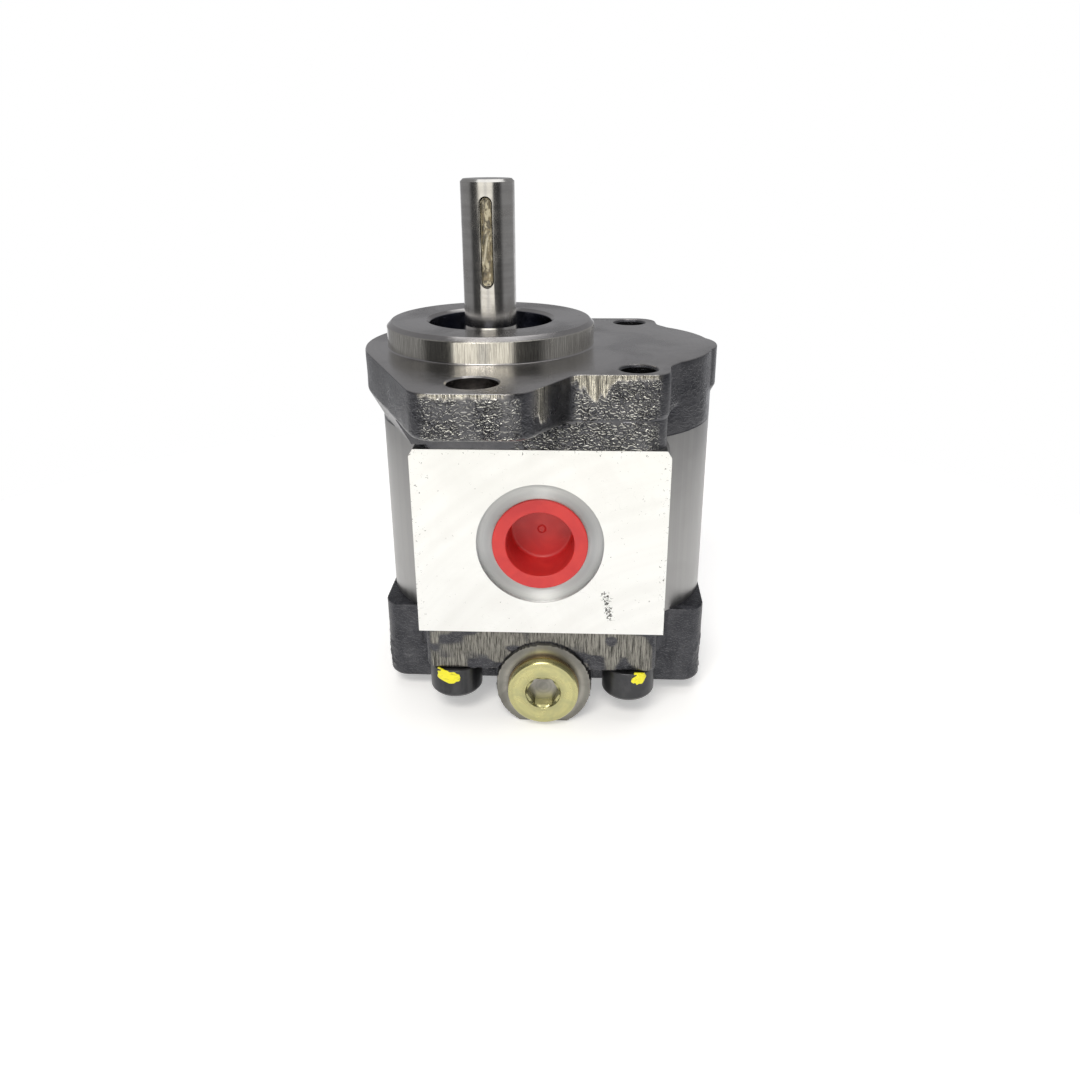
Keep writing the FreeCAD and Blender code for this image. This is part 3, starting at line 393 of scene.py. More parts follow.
def turned(name, profile, centre, along, hexRows=None, around=96):
    # a profile of (radius, distance along the axis) rows carried round an axis; rows in hexRows
    # follow a hexagon whose half width is the row's radius
    along = np.array(along, float)
    side = np.array([0.0, 0.0, 1.0]) if abs(along[2]) < 0.5 else np.array([1.0, 0.0, 0.0])
    up = np.cross(along, side)
    angle = np.arange(around) * 2 * math.pi / around
    radius = np.repeat(profile[:, :1], around, 1)
    if hexRows is not None:
        sector = math.pi / 3
        toFlat = np.cos((angle + sector / 2) % sector - sector / 2)
        radius[hexRows] /= toFlat
    points = (np.array(centre, float) + profile[:, 1][:, None, None] * along
              + (radius * np.cos(angle))[..., None] * side + (radius * np.sin(angle))[..., None] * up)
    return meshFrom(name, points.reshape(-1, 3), gridFaces(len(profile), around, False, True))


def sliceRadius(node, height, centre, angles):
    # distance from the centre to the farthest wall of a CAD node, for each angle, in the plane
    # at that height: every triangle that crosses the plane gives a segment, and every ray is
    # crossed with all the segments
    mesh = nodes[node].data
    mesh.calc_loop_triangles()
    points = np.zeros(len(mesh.vertices) * 3)
    mesh.vertices.foreach_get("co", points)
    corners = np.zeros(len(mesh.loop_triangles) * 3, int)
    mesh.loop_triangles.foreach_get("vertices", corners)
    triangles = points.reshape(-1, 3)[corners.reshape(-1, 3)] / mm
    above = triangles[..., 2] > height
    crossing = triangles[(above.sum(1) % 3) > 0]
    side = crossing[..., 2] > height
    odd = np.where(side.sum(1) == 1, side.argmax(1), (~side).argmax(1))
    rows = np.arange(len(crossing))
    apex = crossing[rows, odd]
    ends = []
    for k in (1, 2):
        other = crossing[rows, (odd + k) % 3]
        share = (height - apex[:, 2]) / (other[:, 2] - apex[:, 2])
        ends.append((apex + (other - apex) * share[:, None])[:, :2] - centre)
    a, b = ends
    ray = np.stack([np.cos(angles), np.sin(angles)], -1)[:, None, :]
    edge = (b - a)[None]
    cross = ray[..., 0] * edge[..., 1] - ray[..., 1] * edge[..., 0]
    cross = np.where(abs(cross) < 1e-12, 1e-12, cross)
    reach = (a[None, :, 0] * edge[..., 1] - a[None, :, 1] * edge[..., 0]) / cross
    share = (a[None, :, 0] * ray[..., 1] - a[None, :, 1] * ray[..., 0]) / cross
    hit = (share > -1e-6) & (share < 1 + 1e-6) & (reach > 0)
    return np.where(hit, reach, 0).max(1)


def evenAngles(node, height, centre, pitch):
    # angles whose rays meet the outline at equal steps of its length
    dense = np.linspace(0, 2 * math.pi, 3000)
    reach = sliceRadius(node, height, centre, dense)
    x, y = reach * np.cos(dense), reach * np.sin(dense)
    length = np.concatenate([[0], np.cumsum(np.hypot(np.diff(x), np.diff(y)))])
    count = int(length[-1] / pitch)
    return np.interp(np.arange(count) * length[-1] / count, length, dense)


def castHeight(points, rough):
    # relief of a sand casting: thin ridges along the middle level of a bent noise, grains on
    # top of them and slow waves under them; rough scales the ridges and the grains
    bend = np.stack([latticeNoise(points, 2.4, s) for s in (11, 12, 13)], -1) - 0.5
    level = latticeNoise(points + 1.6 * bend, 1.35, 21) - 0.5
    ridges = np.exp(-(level / 0.075) ** 2)
    grains = latticeNoise(points, 0.62, 22) - 0.5
    waves = latticeNoise(points, 6.0, 23) - 0.5
    return rough * (0.24 * ridges + 0.22 * grains) + 0.22 * waves


def stackRows(rows):
    # rows of (radius, z), each a number or one value per angle, as two arrays
    widest = max(np.size(r) for r, z in rows)
    radius = np.array([np.broadcast_to(r, widest) for r, z in rows])
    height = np.array([np.broadcast_to(z, widest) for r, z in rows])
    return radius, height


# the flange: cast iron, machined on top
flangeShape = {"pitch": 0.33, "rowStep": 0.31, "edge": 0.35, "earBottom": -10.3, "earEdge": 0.8,
               "bottom": -17.0, "pilotRadius": 25.4, "pilotTop": 6.0, "pilotChamfer": 1.1,
               "pilotFillet": 0.35,
               "sealRadius": 15.0, "sealSeat": -6.5, "shoulder": 10.5, "shoulderSeat": -9.5,
               "shaftHole": 8.4, "mountingY": 41.275, "mountingRadius": 5.6,
               "threadX": 35.2, "threadY": 27.81, "threadRadius": 4.05, "threadMouth": 5.0}
flangeMarks = {"farSide": (38.5, 41.0), "earFrom": (42, 46), "earHalf": (9.0, 11.5),
               "block": (20.5, 23.0), "neck": (7.0, 11.0), "earStrip": (6.5, 8.5),
               "blockStrip": (18.0, 20.5), "stripDepth": 1.0, "tongueX": 25.5, "tongueWidth": 3.4,
               "tongueDepth": 4.2, "cornerX": 14.6, "cornerWidth": 1.3}


def flangeSkin(points, normal):
    # where the cast wall is rough, and where it is ground: a ragged strip under the deck with one
    # long tongue on the front, and a streak down the corner beside the ear
    s, m = flangeShape, flangeMarks
    x, y, z = points.transpose(2, 0, 1)
    facing = smooth(abs(normal[..., 1]), 0.55, 0.9)
    side = 1 - smooth(x, *m["farSide"])
    onEar = smooth(abs(y), *m["earFrom"]) * (1 - smooth(abs(x), *m["earHalf"]))
    onBlock = smooth(x, *m["block"]) * side
    below = smooth(x, *m["neck"]) * side * smooth(-z, 10.5, 11.5)
    patch = smooth(latticeNoise(points, 4.0, 31), 0.36, 0.56)
    skin = onEar * (0.25 + 0.75 * patch) + np.maximum(onBlock, below) * (0.5 + 0.5 * patch)
    rough = 0.06 + facing * skin
    rough = rough * smooth(-z, 0.4, 1.6) * smooth(abs(z - s["earBottom"]), 0.05, 0.5)
    ragged = latticeNoise(points * [1, 1, 0.25], 0.9, 41) - 0.5
    tongue = np.exp(-((x - m["tongueX"]) / m["tongueWidth"]) ** 2) * (y < 0)
    thick = m["stripDepth"] + 1.4 * ragged + (m["tongueDepth"] + 5.0 * ragged) * tongue
    strip = onEar * (1 - smooth(x, *m["earStrip"])) + smooth(x, *m["blockStrip"]) * side
    ground = facing * smooth(z, -thick - 0.5, -thick + 0.5) * strip.clip(0, 1)
    corner = np.exp(-((x - m["cornerX"]) / m["cornerWidth"]) ** 2) * smooth(-y, 33.5, 34.5)
    corner = corner * smooth(-normal[..., 1], 0.2, 0.5)
    return rough, np.maximum(ground, corner * smooth(z, -7.2 + 5 * ragged, -6.0 + 5 * ragged))


def makeDrill(x, y, radius, depth, chamfer, mouth, rise):
    # what a hole takes out: its profile, wider above the chamfer, carried round the hole's axis
    profile = np.array([(0, -depth), (radius, -depth), (radius, -chamfer), (mouth, rise), (0, rise)])
    return turned("cutter", profile, (x, y, 0), (0, 0, 1), around=64)


def makeFlange():
    # a section carried round the shaft's axis: bore, pilot, deck, cast wall and underside; the
    # wall's radius at each angle and height is that of the CAD flange, and the casting's relief
    # is added along the surface's normal
    s = flangeShape
    angles = evenAngles("front_flange", -4.0, (0, 0), s["pitch"])
    outline = sliceRadius("front_flange", -0.5, (0, 0), angles)
    quarter = np.linspace(0, math.pi / 2, 5)
    edge = s["edge"]
    bore = roundedProfile([(s["shaftHole"], s["bottom"]), (s["shaftHole"], s["shoulderSeat"]),
                           (s["shoulder"], s["shoulderSeat"]), (s["shoulder"], s["sealSeat"]),
                           (s["sealRadius"], s["sealSeat"]),
                           (s["sealRadius"], s["pilotTop"] - 0.8, 0.15),
                           (s["sealRadius"] + 0.8, s["pilotTop"], 0.15),
                           (s["pilotRadius"] - s["pilotChamfer"], s["pilotTop"], 0.12),
                           (s["pilotRadius"], s["pilotTop"] - s["pilotChamfer"], 0.12),
                           (s["pilotRadius"], 0, s["pilotFillet"]),
                           (s["pilotRadius"] + 1, 0)], 4)
    inner = [(r, z) for r, z in bore]
    start = s["pilotRadius"] + 1
    deck = [(start + (outline - edge - start) * share, 0.0) for share in (0.33, 0.66)]
    rim = [(outline - edge * (1 - math.sin(a)), -edge * (1 - math.cos(a))) for a in quarter]

    def wallRows(top, bottom):
        heights = np.linspace(top, bottom, int((top - bottom) / s["rowStep"]))
        return [(sliceRadius("front_flange", z, (0, 0), angles), z) for z in heights]

    ledge = s["earBottom"] + s["earEdge"]
    wall = wallRows(-edge - 0.3, ledge)
    last = sliceRadius("front_flange", s["earBottom"] + 0.04, (0, 0), angles)
    neck = sliceRadius("front_flange", s["earBottom"] - 0.04, (0, 0), angles)
    drop = np.clip((last - neck) / 2, 0, s["earEdge"])
    under = [(last - drop * (1 - math.cos(a)) + (wall[-1][0] - last) * (1 - math.sin(a)),
              s["earBottom"] + s["earEdge"] * (1 - math.sin(a))) for a in quarter[1:]]
    foot = wallRows(s["earBottom"] - 0.08, s["bottom"] + 0.1)
    foot.append((foot[-1][0], s["bottom"]))
    radius, height = stackRows(inner + deck + rim + wall + under + foot)
    points = np.stack([radius * np.cos(angles), radius * np.sin(angles), height], -1)
    first, end = len(inner) + len(deck) + 2, len(radius) - 1
    normal = gridNormals(points, True)
    normal *= np.sign((normal * points * [1, 1, 0]).sum(-1)[first + 8].mean())
    part = points[first:end]
    z = part[..., 2]
    rough, ground = flangeSkin(part, normal[first:end])
    relief = castHeight(part, rough) * smooth(-z, 0.3, 1.4) * (1 - 0.85 * ground)
    relief *= 1 - smooth(-z, 16.2, 16.9)
    points[first:end] += normal[first:end] * (relief - 0.05)[..., None]
    masks = {"ground": np.zeros(radius.shape), "rough": np.zeros(radius.shape)}
    masks["ground"][first:end] = ground
    masks["rough"][first:end] = rough.clip(0, 1)
    flange = meshFrom("flange_body", points.reshape(-1, 3),
                      gridFaces(len(points), len(angles), True, True), masks, 38)
    holes = []
    for side in (-1, 1):
        holes.append(makeDrill(0, side * s["mountingY"], s["mountingRadius"], 20, 0.35,
                               s["mountingRadius"] + 0.7, 0.35))
        holes.append(makeDrill(s["threadX"], side * s["threadY"], s["threadRadius"], 19, 0.6,
                               s["threadMouth"], 0.45))
    cutAway(flange, holes)
    return flange


def cutAway(piece, cutters):
    # boolean differences, applied at once
    for cutter in cutters:
        step = piece.modifiers.new("cut", "BOOLEAN")
        step.object, step.operation, step.solver = cutter, "DIFFERENCE", "EXACT"
    bpy.context.view_layer.update()
    cutMesh = bpy.data.meshes.new_from_object(piece.evaluated_get(bpy.context.evaluated_depsgraph_get()))
    piece.modifiers.clear()
    piece.data = cutMesh
    cutMesh.set_sharp_from_angle(angle=math.radians(35))
    for cutter in cutters:
        bpy.data.objects.remove(cutter)


# the rear cover: cast iron, ground at the front
coverShape = {"pitch": 0.36, "rowStep": 0.34, "middleX": portCentre[0], "top": -63.0, "plateBottom": -74.0,
              "middleBottom": -84.3, "bottom": -88.0, "bossX": valveCentre[0], "bossZ": valveCentre[2],
              "bossRadius": 11.7, "bossFront": -34.01,
              "topEdge": 0.25, "ledgeEdge": 0.7}


def makeCover():
    # closed rows round the pump's middle, from the joint face down to the flat it stands on;
    # the radius at each angle and height is the CAD cover's, with the plug's bore filled in
    s = coverShape
    centre = (s["middleX"], 0)
    angles = evenAngles("rear_cover", -72.0, centre, s["pitch"])
    downwards = np.sin(angles) < 0
    toFront = s["bossFront"] / np.where(downwards, np.sin(angles), -1)
    reachX = s["middleX"] + toFront * np.cos(angles)

    def radiusAt(z):
        reach = sliceRadius("rear_cover", z, centre, angles)
        half = math.sqrt(max(s["bossRadius"] ** 2 - (z - s["bossZ"]) ** 2, 0))
        inBoss = downwards & (abs(reachX - s["bossX"]) < half)
        return np.where(inBoss, np.maximum(reach, toFront), reach)

    top = radiusAt(s["top"] - 0.4)
    rows = [(0.0, s["top"]), (top * 0.5, s["top"]), (top - s["topEdge"], s["top"]),
            (top - s["topEdge"] * 0.3, s["top"] - s["topEdge"] * 0.3)]
    rows += [(radiusAt(z), z) for z in np.arange(s["top"] - s["topEdge"],
                                                 s["plateBottom"] + s["ledgeEdge"], -s["pitch"])]
    outer, inner = radiusAt(s["plateBottom"] + 0.05), radiusAt(s["plateBottom"] - 0.05)
    drop = np.clip((outer - inner) / 2, 0, s["ledgeEdge"])
    for a in np.linspace(0.2, math.pi / 2, 4):
        rows.append((outer - drop * (1 - math.cos(a)),
                     s["plateBottom"] + s["ledgeEdge"] * (1 - math.sin(a))))
    rows += [(radiusAt(z), z) for z in np.arange(s["plateBottom"] - 0.08, s["bottom"] + 0.05,
                                                -s["rowStep"])]
    last = radiusAt(s["bottom"] + 0.02)
    rows += [(last - 0.1, s["bottom"]), (last * 0.5, s["bottom"]), (0.0, s["bottom"])]
    radius, height = stackRows(rows)
    points = np.stack([s["middleX"] + radius * np.cos(angles), radius * np.sin(angles), height], -1)
    normal = gridNormals(points, True)
    outward = (normal * (points - [s["middleX"], 0, 0]) * [1, 1, 0]).sum(-1)[12].mean()
    normal *= np.sign(outward)
    x, y, z = points[..., 0], points[..., 1], points[..., 2]
    inBoss = np.hypot(x - s["bossX"], z - s["bossZ"]) < s["bossRadius"] + 0.4
    machined = (y < s["bossFront"] + 0.3) & inBoss
    facing = smooth(-normal[..., 1], 0.75, 0.95) * smooth(-y, 31.0, 32.0)
    patch = smooth(latticeNoise(points * [1, 1, 1.3], 3.4, 51), 0.58, 0.68)
    ragged = latticeNoise(points * [1, 1, 0.2], 0.8, 52)
    ground = facing * (1 - patch) * smooth(ragged + 0.5 * (z + 78) / 15, 0.05, 0.4) * (1 - machined)
    shelf = smooth(z, -72.6, -71.2) * (1 - facing)
    rough = (0.55 + 0.4 * patch) * (1 - 0.8 * ground) * (1 - machined) * (1 - 0.75 * shelf)
    fade = smooth(s["top"] - z, 0.1, 0.8) * smooth(z - s["bottom"], 0.3, 1.5)
    fade = fade * smooth(abs(z - s["middleBottom"]), 0.25, 1.5)
    relief = castHeight(points, rough) * fade * (1 - machined)
    points += normal * (relief - 0.05 * fade)[..., None]
    masks = {"ground": ground, "machined": machined.astype(float)}
    return meshFrom("cover_body", points.reshape(-1, 3),
                    gridFaces(len(points), len(angles), False, True), masks, 38)


portPlugShape = {"x": portCentre[0], "z": portCentre[2], "face": 33.91, "seat": 33.01, "rim": 11.2,
                 "cup": 9.25, "mouth": 8.0, "floor": 23.91, "end": 22.51}


def makePortPlug(name, side):
    # a moulded cup with a flat rim: its profile carried round the port's axis
    s = portPlugShape
    profile = roundedProfile([(0, s["end"]), (s["cup"] - 0.6, s["end"], 0.5),
                              (s["cup"], s["end"] + 1.2, 0.6), (s["cup"], s["seat"], 0.25),
                              (s["rim"], s["seat"], 0.2), (s["rim"], s["face"], 0.3),
                              (s["mouth"], s["face"], 0.3), (s["mouth"] - 0.35, s["floor"], 0.9),
                              (1.1, s["floor"], 0.2), (0.7, s["floor"] + 0.35, 0.2),
                              (0, s["floor"] + 0.35)], 6)
    return turned(name, profile, (s["x"], 0, s["z"]), (0, side, 0), around=128)


reliefPlugShape = {"x": valveCentre[0], "z": valveCentre[2], "end": 22.01, "thread": 7.0, "collar": 8.6,
                   "seat": 35.01, "face": 37.21, "socket": 3.65, "socketDepth": 5.0}


def makeReliefPlug():
    # collar, threaded shank and hexagon socket: its profile carried round the valve's axis
    s = reliefPlugShape
    outside = roundedProfile([(0, s["end"]), (s["thread"] - 0.7, s["end"]),
                              (s["thread"], s["end"] + 0.7), (s["thread"], s["seat"]),
                              (s["collar"], s["seat"], 0.15), (s["collar"], s["face"] - 0.35, 0.15),
                              (s["collar"] - 0.35, s["face"], 0.15),
                              (s["socket"] * 1.2, s["face"], 0.12),
                              (s["socket"] * 1.155, s["face"] - 0.3)], 4)
    depth = s["face"] - s["socketDepth"]
    socket = [(s["socket"], s["face"] - 0.55), (s["socket"], s["face"] - 0.6),
              (s["socket"], depth + 0.05), (s["socket"] - 0.1, depth), (0, depth - 0.9)]
    profile = np.vstack([outside, socket])
    rows = list(range(len(outside), len(profile) - 1))
    return turned("relief_plug_body", profile, (s["x"], 0, s["z"]), (0, -1, 0), rows, 144)


screwShape = {"places": [(-8.2, -27.81), (-8.2, 27.81), (35.2, -27.81), (35.2, 27.81)],
              "headEnd": -82.0, "headSeat": -74.0, "head": 6.5, "shank": 4.0, "end": -5.0,
              "socket": 3.0, "socketDepth": 4.2}


def makeScrew(name, place):
    # socket head cap screw, head down: its profile carried round the screw's axis
    s = screwShape
    bottom = s["headEnd"] + s["socketDepth"]
    socket = [(0, bottom + 0.9), (s["socket"] - 0.1, bottom), (s["socket"], bottom - 0.05),
              (s["socket"], s["headEnd"] + 0.4)]
    outside = roundedProfile([(s["socket"] * 1.17, s["headEnd"] + 0.25),
                              (s["socket"] * 1.25, s["headEnd"], 0.1),
                              (s["head"] - 0.9, s["headEnd"], 0.9),
                              (s["head"], s["headEnd"] + 1.1, 1.0), (s["head"], s["headSeat"], 0.35),
                              (s["shank"], s["headSeat"], 0.2), (s["shank"], s["end"] - 0.6),
                              (s["shank"] - 0.6, s["end"]), (0, s["end"])], 5)
    profile = np.vstack([socket, outside])
    return turned(name, profile, (*place, 0), (0, 0, 1), [1, 2, 3], 96)


def slab(name, outer, inner, masks=None):
    # closed sheet between two grids of points that share their layout
    rows, columns = outer.shape[:2]
    points = np.concatenate([outer, inner[::-1]])
    faces = gridFaces(2 * rows, columns, True, False)
    last = 2 * rows - 1
    for j, turn in ((0, 1), (columns - 1, -1)):
        for i in range(rows - 1):
            quad = [i * columns + j, (i + 1) * columns + j,
                    (last - i - 1) * columns + j, (last - i) * columns + j]
            faces.append(quad[::turn])
    return meshFrom(name, points.reshape(-1, 3), faces, masks, 60)


springShape = {"x": valveCentre[0], "z": valveCentre[2], "start": -25.36, "length": 22.71,
               "pitch": 2.9, "coil": 3.4, "wire": 0.55, "anchor": -26.01, "travel": 2.5}


def makeSpring():
    # a round wire along a helix: the path at angle t is (coil cos t, start + pitch t / 2 pi,
    # -coil sin t), with a circle of the wire's radius across it and a point at each end
    s = springShape
    t = np.linspace(0, 2 * math.pi * s["length"] / s["pitch"], 360)[:, None]
    around = np.linspace(0, 2 * math.pi, 16, endpoint=False)
    thick = np.full(t.shape, s["wire"])
    thick[[0, -1]] = 0
    outwards, rise = thick * np.cos(around), thick * np.sin(around)
    lean = s["pitch"] / (2 * math.pi * s["coil"])
    across = s["coil"] + outwards
    turn = t - rise * lean / s["coil"]
    points = np.stack([s["x"] + across * np.cos(turn), s["start"] + s["pitch"] * t / (2 * math.pi) + rise,
                       s["z"] - across * np.sin(turn)], -1)
    return meshFrom("relief_spring_body", points.reshape(-1, 3),
                    gridFaces(len(t), len(around), False, True), None, 60)


paintShape = {"radius": 6.5, "thickness": 0.16,
              "daubs": [("paint_mark_left", 0, 258, 62, -75.9, 1.7, 3),
                        ("paint_mark_right", 2, 293, 34, -75.6, 1.6, 8)]}


def makePaintMark(name, screw, middle, spread, z, tall, seed):
    # a brushed daub on a screw's head: a patch of the head's cylinder that stands proud inside
    # a ragged oval and dips below the metal outside it
    s = paintShape
    u, v = np.meshgrid(np.linspace(-1, 1, 72), np.linspace(1, -1, 40))
    angle = np.radians(middle + spread * u / 2 + 6 * v)
    height = z + tall * v - 0.35 * u
    x0, y0 = screwShape["places"][screw]
    flat = np.stack([u * 3, v * 2, 0 * u + seed], -1)
    oval = 1 - np.sqrt(u ** 2 + v ** 2) + 0.45 * (latticeNoise(flat, 0.9, seed) - 0.45)
    lift = s["thickness"] * (smooth(oval, 0.02, 0.3) * (0.75 + 0.5 * latticeNoise(flat, 0.35, 5)) - 0.3)

    def shell(radius):
        return np.stack([x0 + radius * np.cos(angle), y0 + radius * np.sin(angle), height], -1)

    return slab(name, shell(s["radius"] + lift), shell(s["radius"] - 0.4 + 0 * u))


greaseShape = {"width": 3.14, "floor": -4.43, "bottom": 13.93, "top": 34.47}


def makeGrease():
    # preservative grease wiped into the keyway: a height over the slot's outline, thicker at
    # the ends and along one slanting smear
    s = greaseShape
    half = s["width"] / 2
    z = np.concatenate([s["bottom"] + half * (1 - np.cos(np.linspace(0, math.pi / 2, 9))),
                        np.linspace(s["bottom"] + half, s["top"] - half, 78)[1:-1],
                        s["top"] - half * (1 - np.cos(np.linspace(math.pi / 2, 0, 9)))])
    beyond = np.maximum(s["bottom"] + half - z, z - s["top"] + half).clip(0)
    wide = np.sqrt(np.maximum(half ** 2 - beyond ** 2, 0))
    u = np.linspace(-1, 1, 25)
    x, z = wide[:, None] * u, np.repeat(z[:, None], 25, 1)
    flat = np.stack([x, 0 * x, z], -1)
    inside = half - np.sqrt(x ** 2 + beyond[:, None] ** 2)
    lumps = latticeNoise(flat, 1.9, 61) * 0.6 + latticeNoise(flat, 0.8, 62) * 0.3
    smear = np.exp(-((x - 0.16 * (z - 24.0)) / 0.42) ** 2) * smooth(z, 18.5, 20.5) * smooth(-z, -26.5, -24.5)
    border = np.exp(-((inside - 0.42) / 0.13) ** 2) * (0.6 + 0.5 * latticeNoise(flat, 1.3, 63))
    ends = smooth(abs(z - 24.2), 6.4, 9.5)
    height = 0.04 + 0.5 * lumps + 0.45 * smear + 0.35 * ends * lumps + 0.35 * border
    height *= smooth(inside, -0.05, 0.36)
    # edge marks the rim, where the nearly black painted shade of the slot's walls goes; pale covers the
    # smear and a line just inside the rim
    masks = {"pale": (smear + 0.55 * border).clip(0, 1), "edge": 1 - smooth(inside, 0.16, 0.34)}
    outer = np.stack([x, s["floor"] - height, z], -1)
    inner = np.stack([x, s["floor"] + 0.02 + 0 * x, z], -1)
    return slab("keyway_grease", outer, inner,
                {key: np.concatenate([mask, 0 * mask]) for key, mask in masks.items()})


print("shapes ready")


# turns a pattern round Z into one round Y
sideways = (math.pi / 2, 0, 0)


def makeIron():
    # cast iron under a thin oily film: dark wrinkled skin, and bright metal where it is machined
    # (the deck, the pilot and the holes) or ground (the mask made with the shape)
    f = flangeShape
    material, tree, shader, place = startMaterial("flangeIron", Metallic=1.0, IOR=1.5)
    split = splitXyz(tree, place)
    ground = maskFrom(tree, "ground")
    wrinkled = maskFrom(tree, "rough")
    wall = ramp(tree, split[2], -0.3, -0.05, 1.0, 0.0)
    radius = fromAxis(tree, split[0], split[1])
    beyondPilot = ramp(tree, radius, f["pilotRadius"] + 0.2, f["pilotRadius"] + 0.5)
    fromHole = fromAxis(tree, split[0], gap(tree, calc(tree, "ABSOLUTE", split[1]), f["mountingY"]))
    skin = times(tree, wall, beyondPilot, clamp=True)
    skin = times(tree, skin, ramp(tree, fromHole, f["mountingRadius"] + 0.1, f["mountingRadius"] + 0.3))
    skin = times(tree, skin, calc(tree, "SUBTRACT", 1.0, ground), clamp=True)
    oily = times(tree, ramp(tree, radius, f["sealRadius"] + 0.2, f["sealRadius"] + 0.5, 1.0, 0.0),
                 ramp(tree, split[2], f["pilotTop"] - 0.8, f["pilotTop"] - 0.6, 1.0, 0.0))
    pilotWall = times(tree, ramp(tree, radius, f["pilotRadius"] - 0.3, f["pilotRadius"] - 0.1),
                      ramp(tree, split[2], 0.25, 0.45))
    grain = effect(tree, castGrain, Vector=place, Size=1.05)
    turnedRings = effect(tree, turnedMarks, Vector=place, Pitch=0.16)
    hands = effect(tree, handling, Vector=place, Size=22.0)
    strokes = effect(tree, drawnLines, Vector=place, Across=0.32, Along=9.0)
    bright = mixColour(tree, hands["Smear"], (0.42, 0.405, 0.395, 1), (0.30, 0.29, 0.288, 1))
    bright = partMix(tree, turnedRings["Band"], 0.35, bright,
                       (0.33, 0.325, 0.33, 1))
    bright = mixColour(tree, hands["Speck"], bright, (0.08, 0.07, 0.06, 1))
    feed = effect(tree, drawnLines, Vector=place, Across=0.13, Along=6.0)
    cut = mixColour(tree, ramp(tree, feed["Height"], 0.42, 0.58), (0.38, 0.365, 0.33, 1),
                    (0.62, 0.60, 0.545, 1))
    bright = mixColour(tree, pilotWall, bright, cut)
    film = timesPlus(tree, hands["Smear"], -0.2, 0.95)
    bright = partMix(tree, oily, film, bright, (0.055, 0.062, 0.090, 1))
    struck = mixColour(tree, ramp(tree, strokes["Height"], 0.38, 0.6), (0.16, 0.15, 0.13, 1),
                       (0.88, 0.84, 0.72, 1))
    bright = mixColour(tree, ground, bright, struck)
    dark = mixColour(tree, grain["Stain"], (0.075, 0.076, 0.084, 1), (0.125, 0.125, 0.132, 1))
    # painted highlight: the wrinkles' upper flanks turn pale as if lit from above
    dark = partMix(tree, grain["RidgeHighlight"], ramp(tree, wrinkled, 0.1, 0.6), dark, (0.66, 0.655, 0.61, 1))
    drive(shader, "Base Color", mixColour(tree, skin, bright, dark))
    machinedRough = timesPlus(tree, hands["Smear"], 0.12, 0.17)
    machinedRough = timesPlus(tree, hands["Scratch"], 0.2, machinedRough)
    skinRough = timesPlus(tree, grain["Stain"], 0.14, 0.26)
    drive(shader, "Roughness", blend(tree, skin, machinedRough, skinRough))
    struckHeight = times(tree, times(tree, strokes["Height"], ground), 1.2)
    fine = timesPlus(tree, turnedRings["Height"], 0.10, struckHeight)
    coarse = times(tree, grain["Height"], timesPlus(tree, wrinkled, 1.6, 0.10))
    bumped(tree, shader, blend(tree, skin, fine, coarse), 1.0, 0.24 * mm)
    unground = calc(tree, "SUBTRACT", 1.0, calc(tree, "MAXIMUM", ground, skin), clamp=True)
    turnedSheen(tree, shader, (0, 0, 0), (0, 0, 1), times(tree, unground, 0.8))
    return material


def makeCoverIron():
    # the cover's cast iron: smooth dark skin, ground strokes at the front, a turned boss face
    material, tree, shader, place = startMaterial("coverIron", valveCentre, Metallic=1.0, IOR=1.5)
    ground = maskFrom(tree, "ground")
    machined = maskFrom(tree, "machined")
    grain = effect(tree, castGrain, Vector=place, Size=0.8)
    strokes = effect(tree, drawnLines, Vector=place, Across=0.26, Along=4.5)
    turnedAbout = placed(tree, place, "POINT", turn=sideways)
    rings = effect(tree, turnedMarks, Vector=turnedAbout, Pitch=0.22)
    hands = effect(tree, handling, Vector=place, Size=9.0)
    dark = mixColour(tree, grain["Stain"], (0.045, 0.046, 0.052, 1), (0.085, 0.086, 0.094, 1))
    # painted highlight: the wrinkles' upper flanks turn lighter as if lit from above
    dark = partMix(tree, grain["RidgeHighlight"], 0.35, dark, (0.19, 0.19, 0.20, 1))
    struck = mixColour(tree, ramp(tree, strokes["Height"], 0.35, 0.65), (0.05, 0.049, 0.045, 1),
                       (0.29, 0.28, 0.25, 1))
    colour = mixColour(tree, ground, dark, struck)
    face = mixColour(tree, rings["Band"], (0.22, 0.215, 0.195, 1), (0.33, 0.32, 0.29, 1))
    face = partMix(tree, hands["Smear"], 0.5, face, (0.12, 0.115, 0.105, 1))
    drive(shader, "Base Color", mixColour(tree, machined, colour, face))
    rough = timesPlus(tree, grain["Stain"], 0.12, 0.30)
    drive(shader, "Roughness", blend(tree, ground, rough, 0.34))
    height = blend(tree, ground, grain["Height"], times(tree, strokes["Height"], 1.4))
    height = blend(tree, machined, height, times(tree, rings["Height"], 0.3))
    bumped(tree, shader, height, 0.5, 0.12 * mm)
    return material


padMarks = {"face": 33.9, "recess": 32.95, "cutterCentre": (62, 0, -118), "clusterX": 29.496,
            "clusterZ": -55.6, "clusterSlant": 0.16}


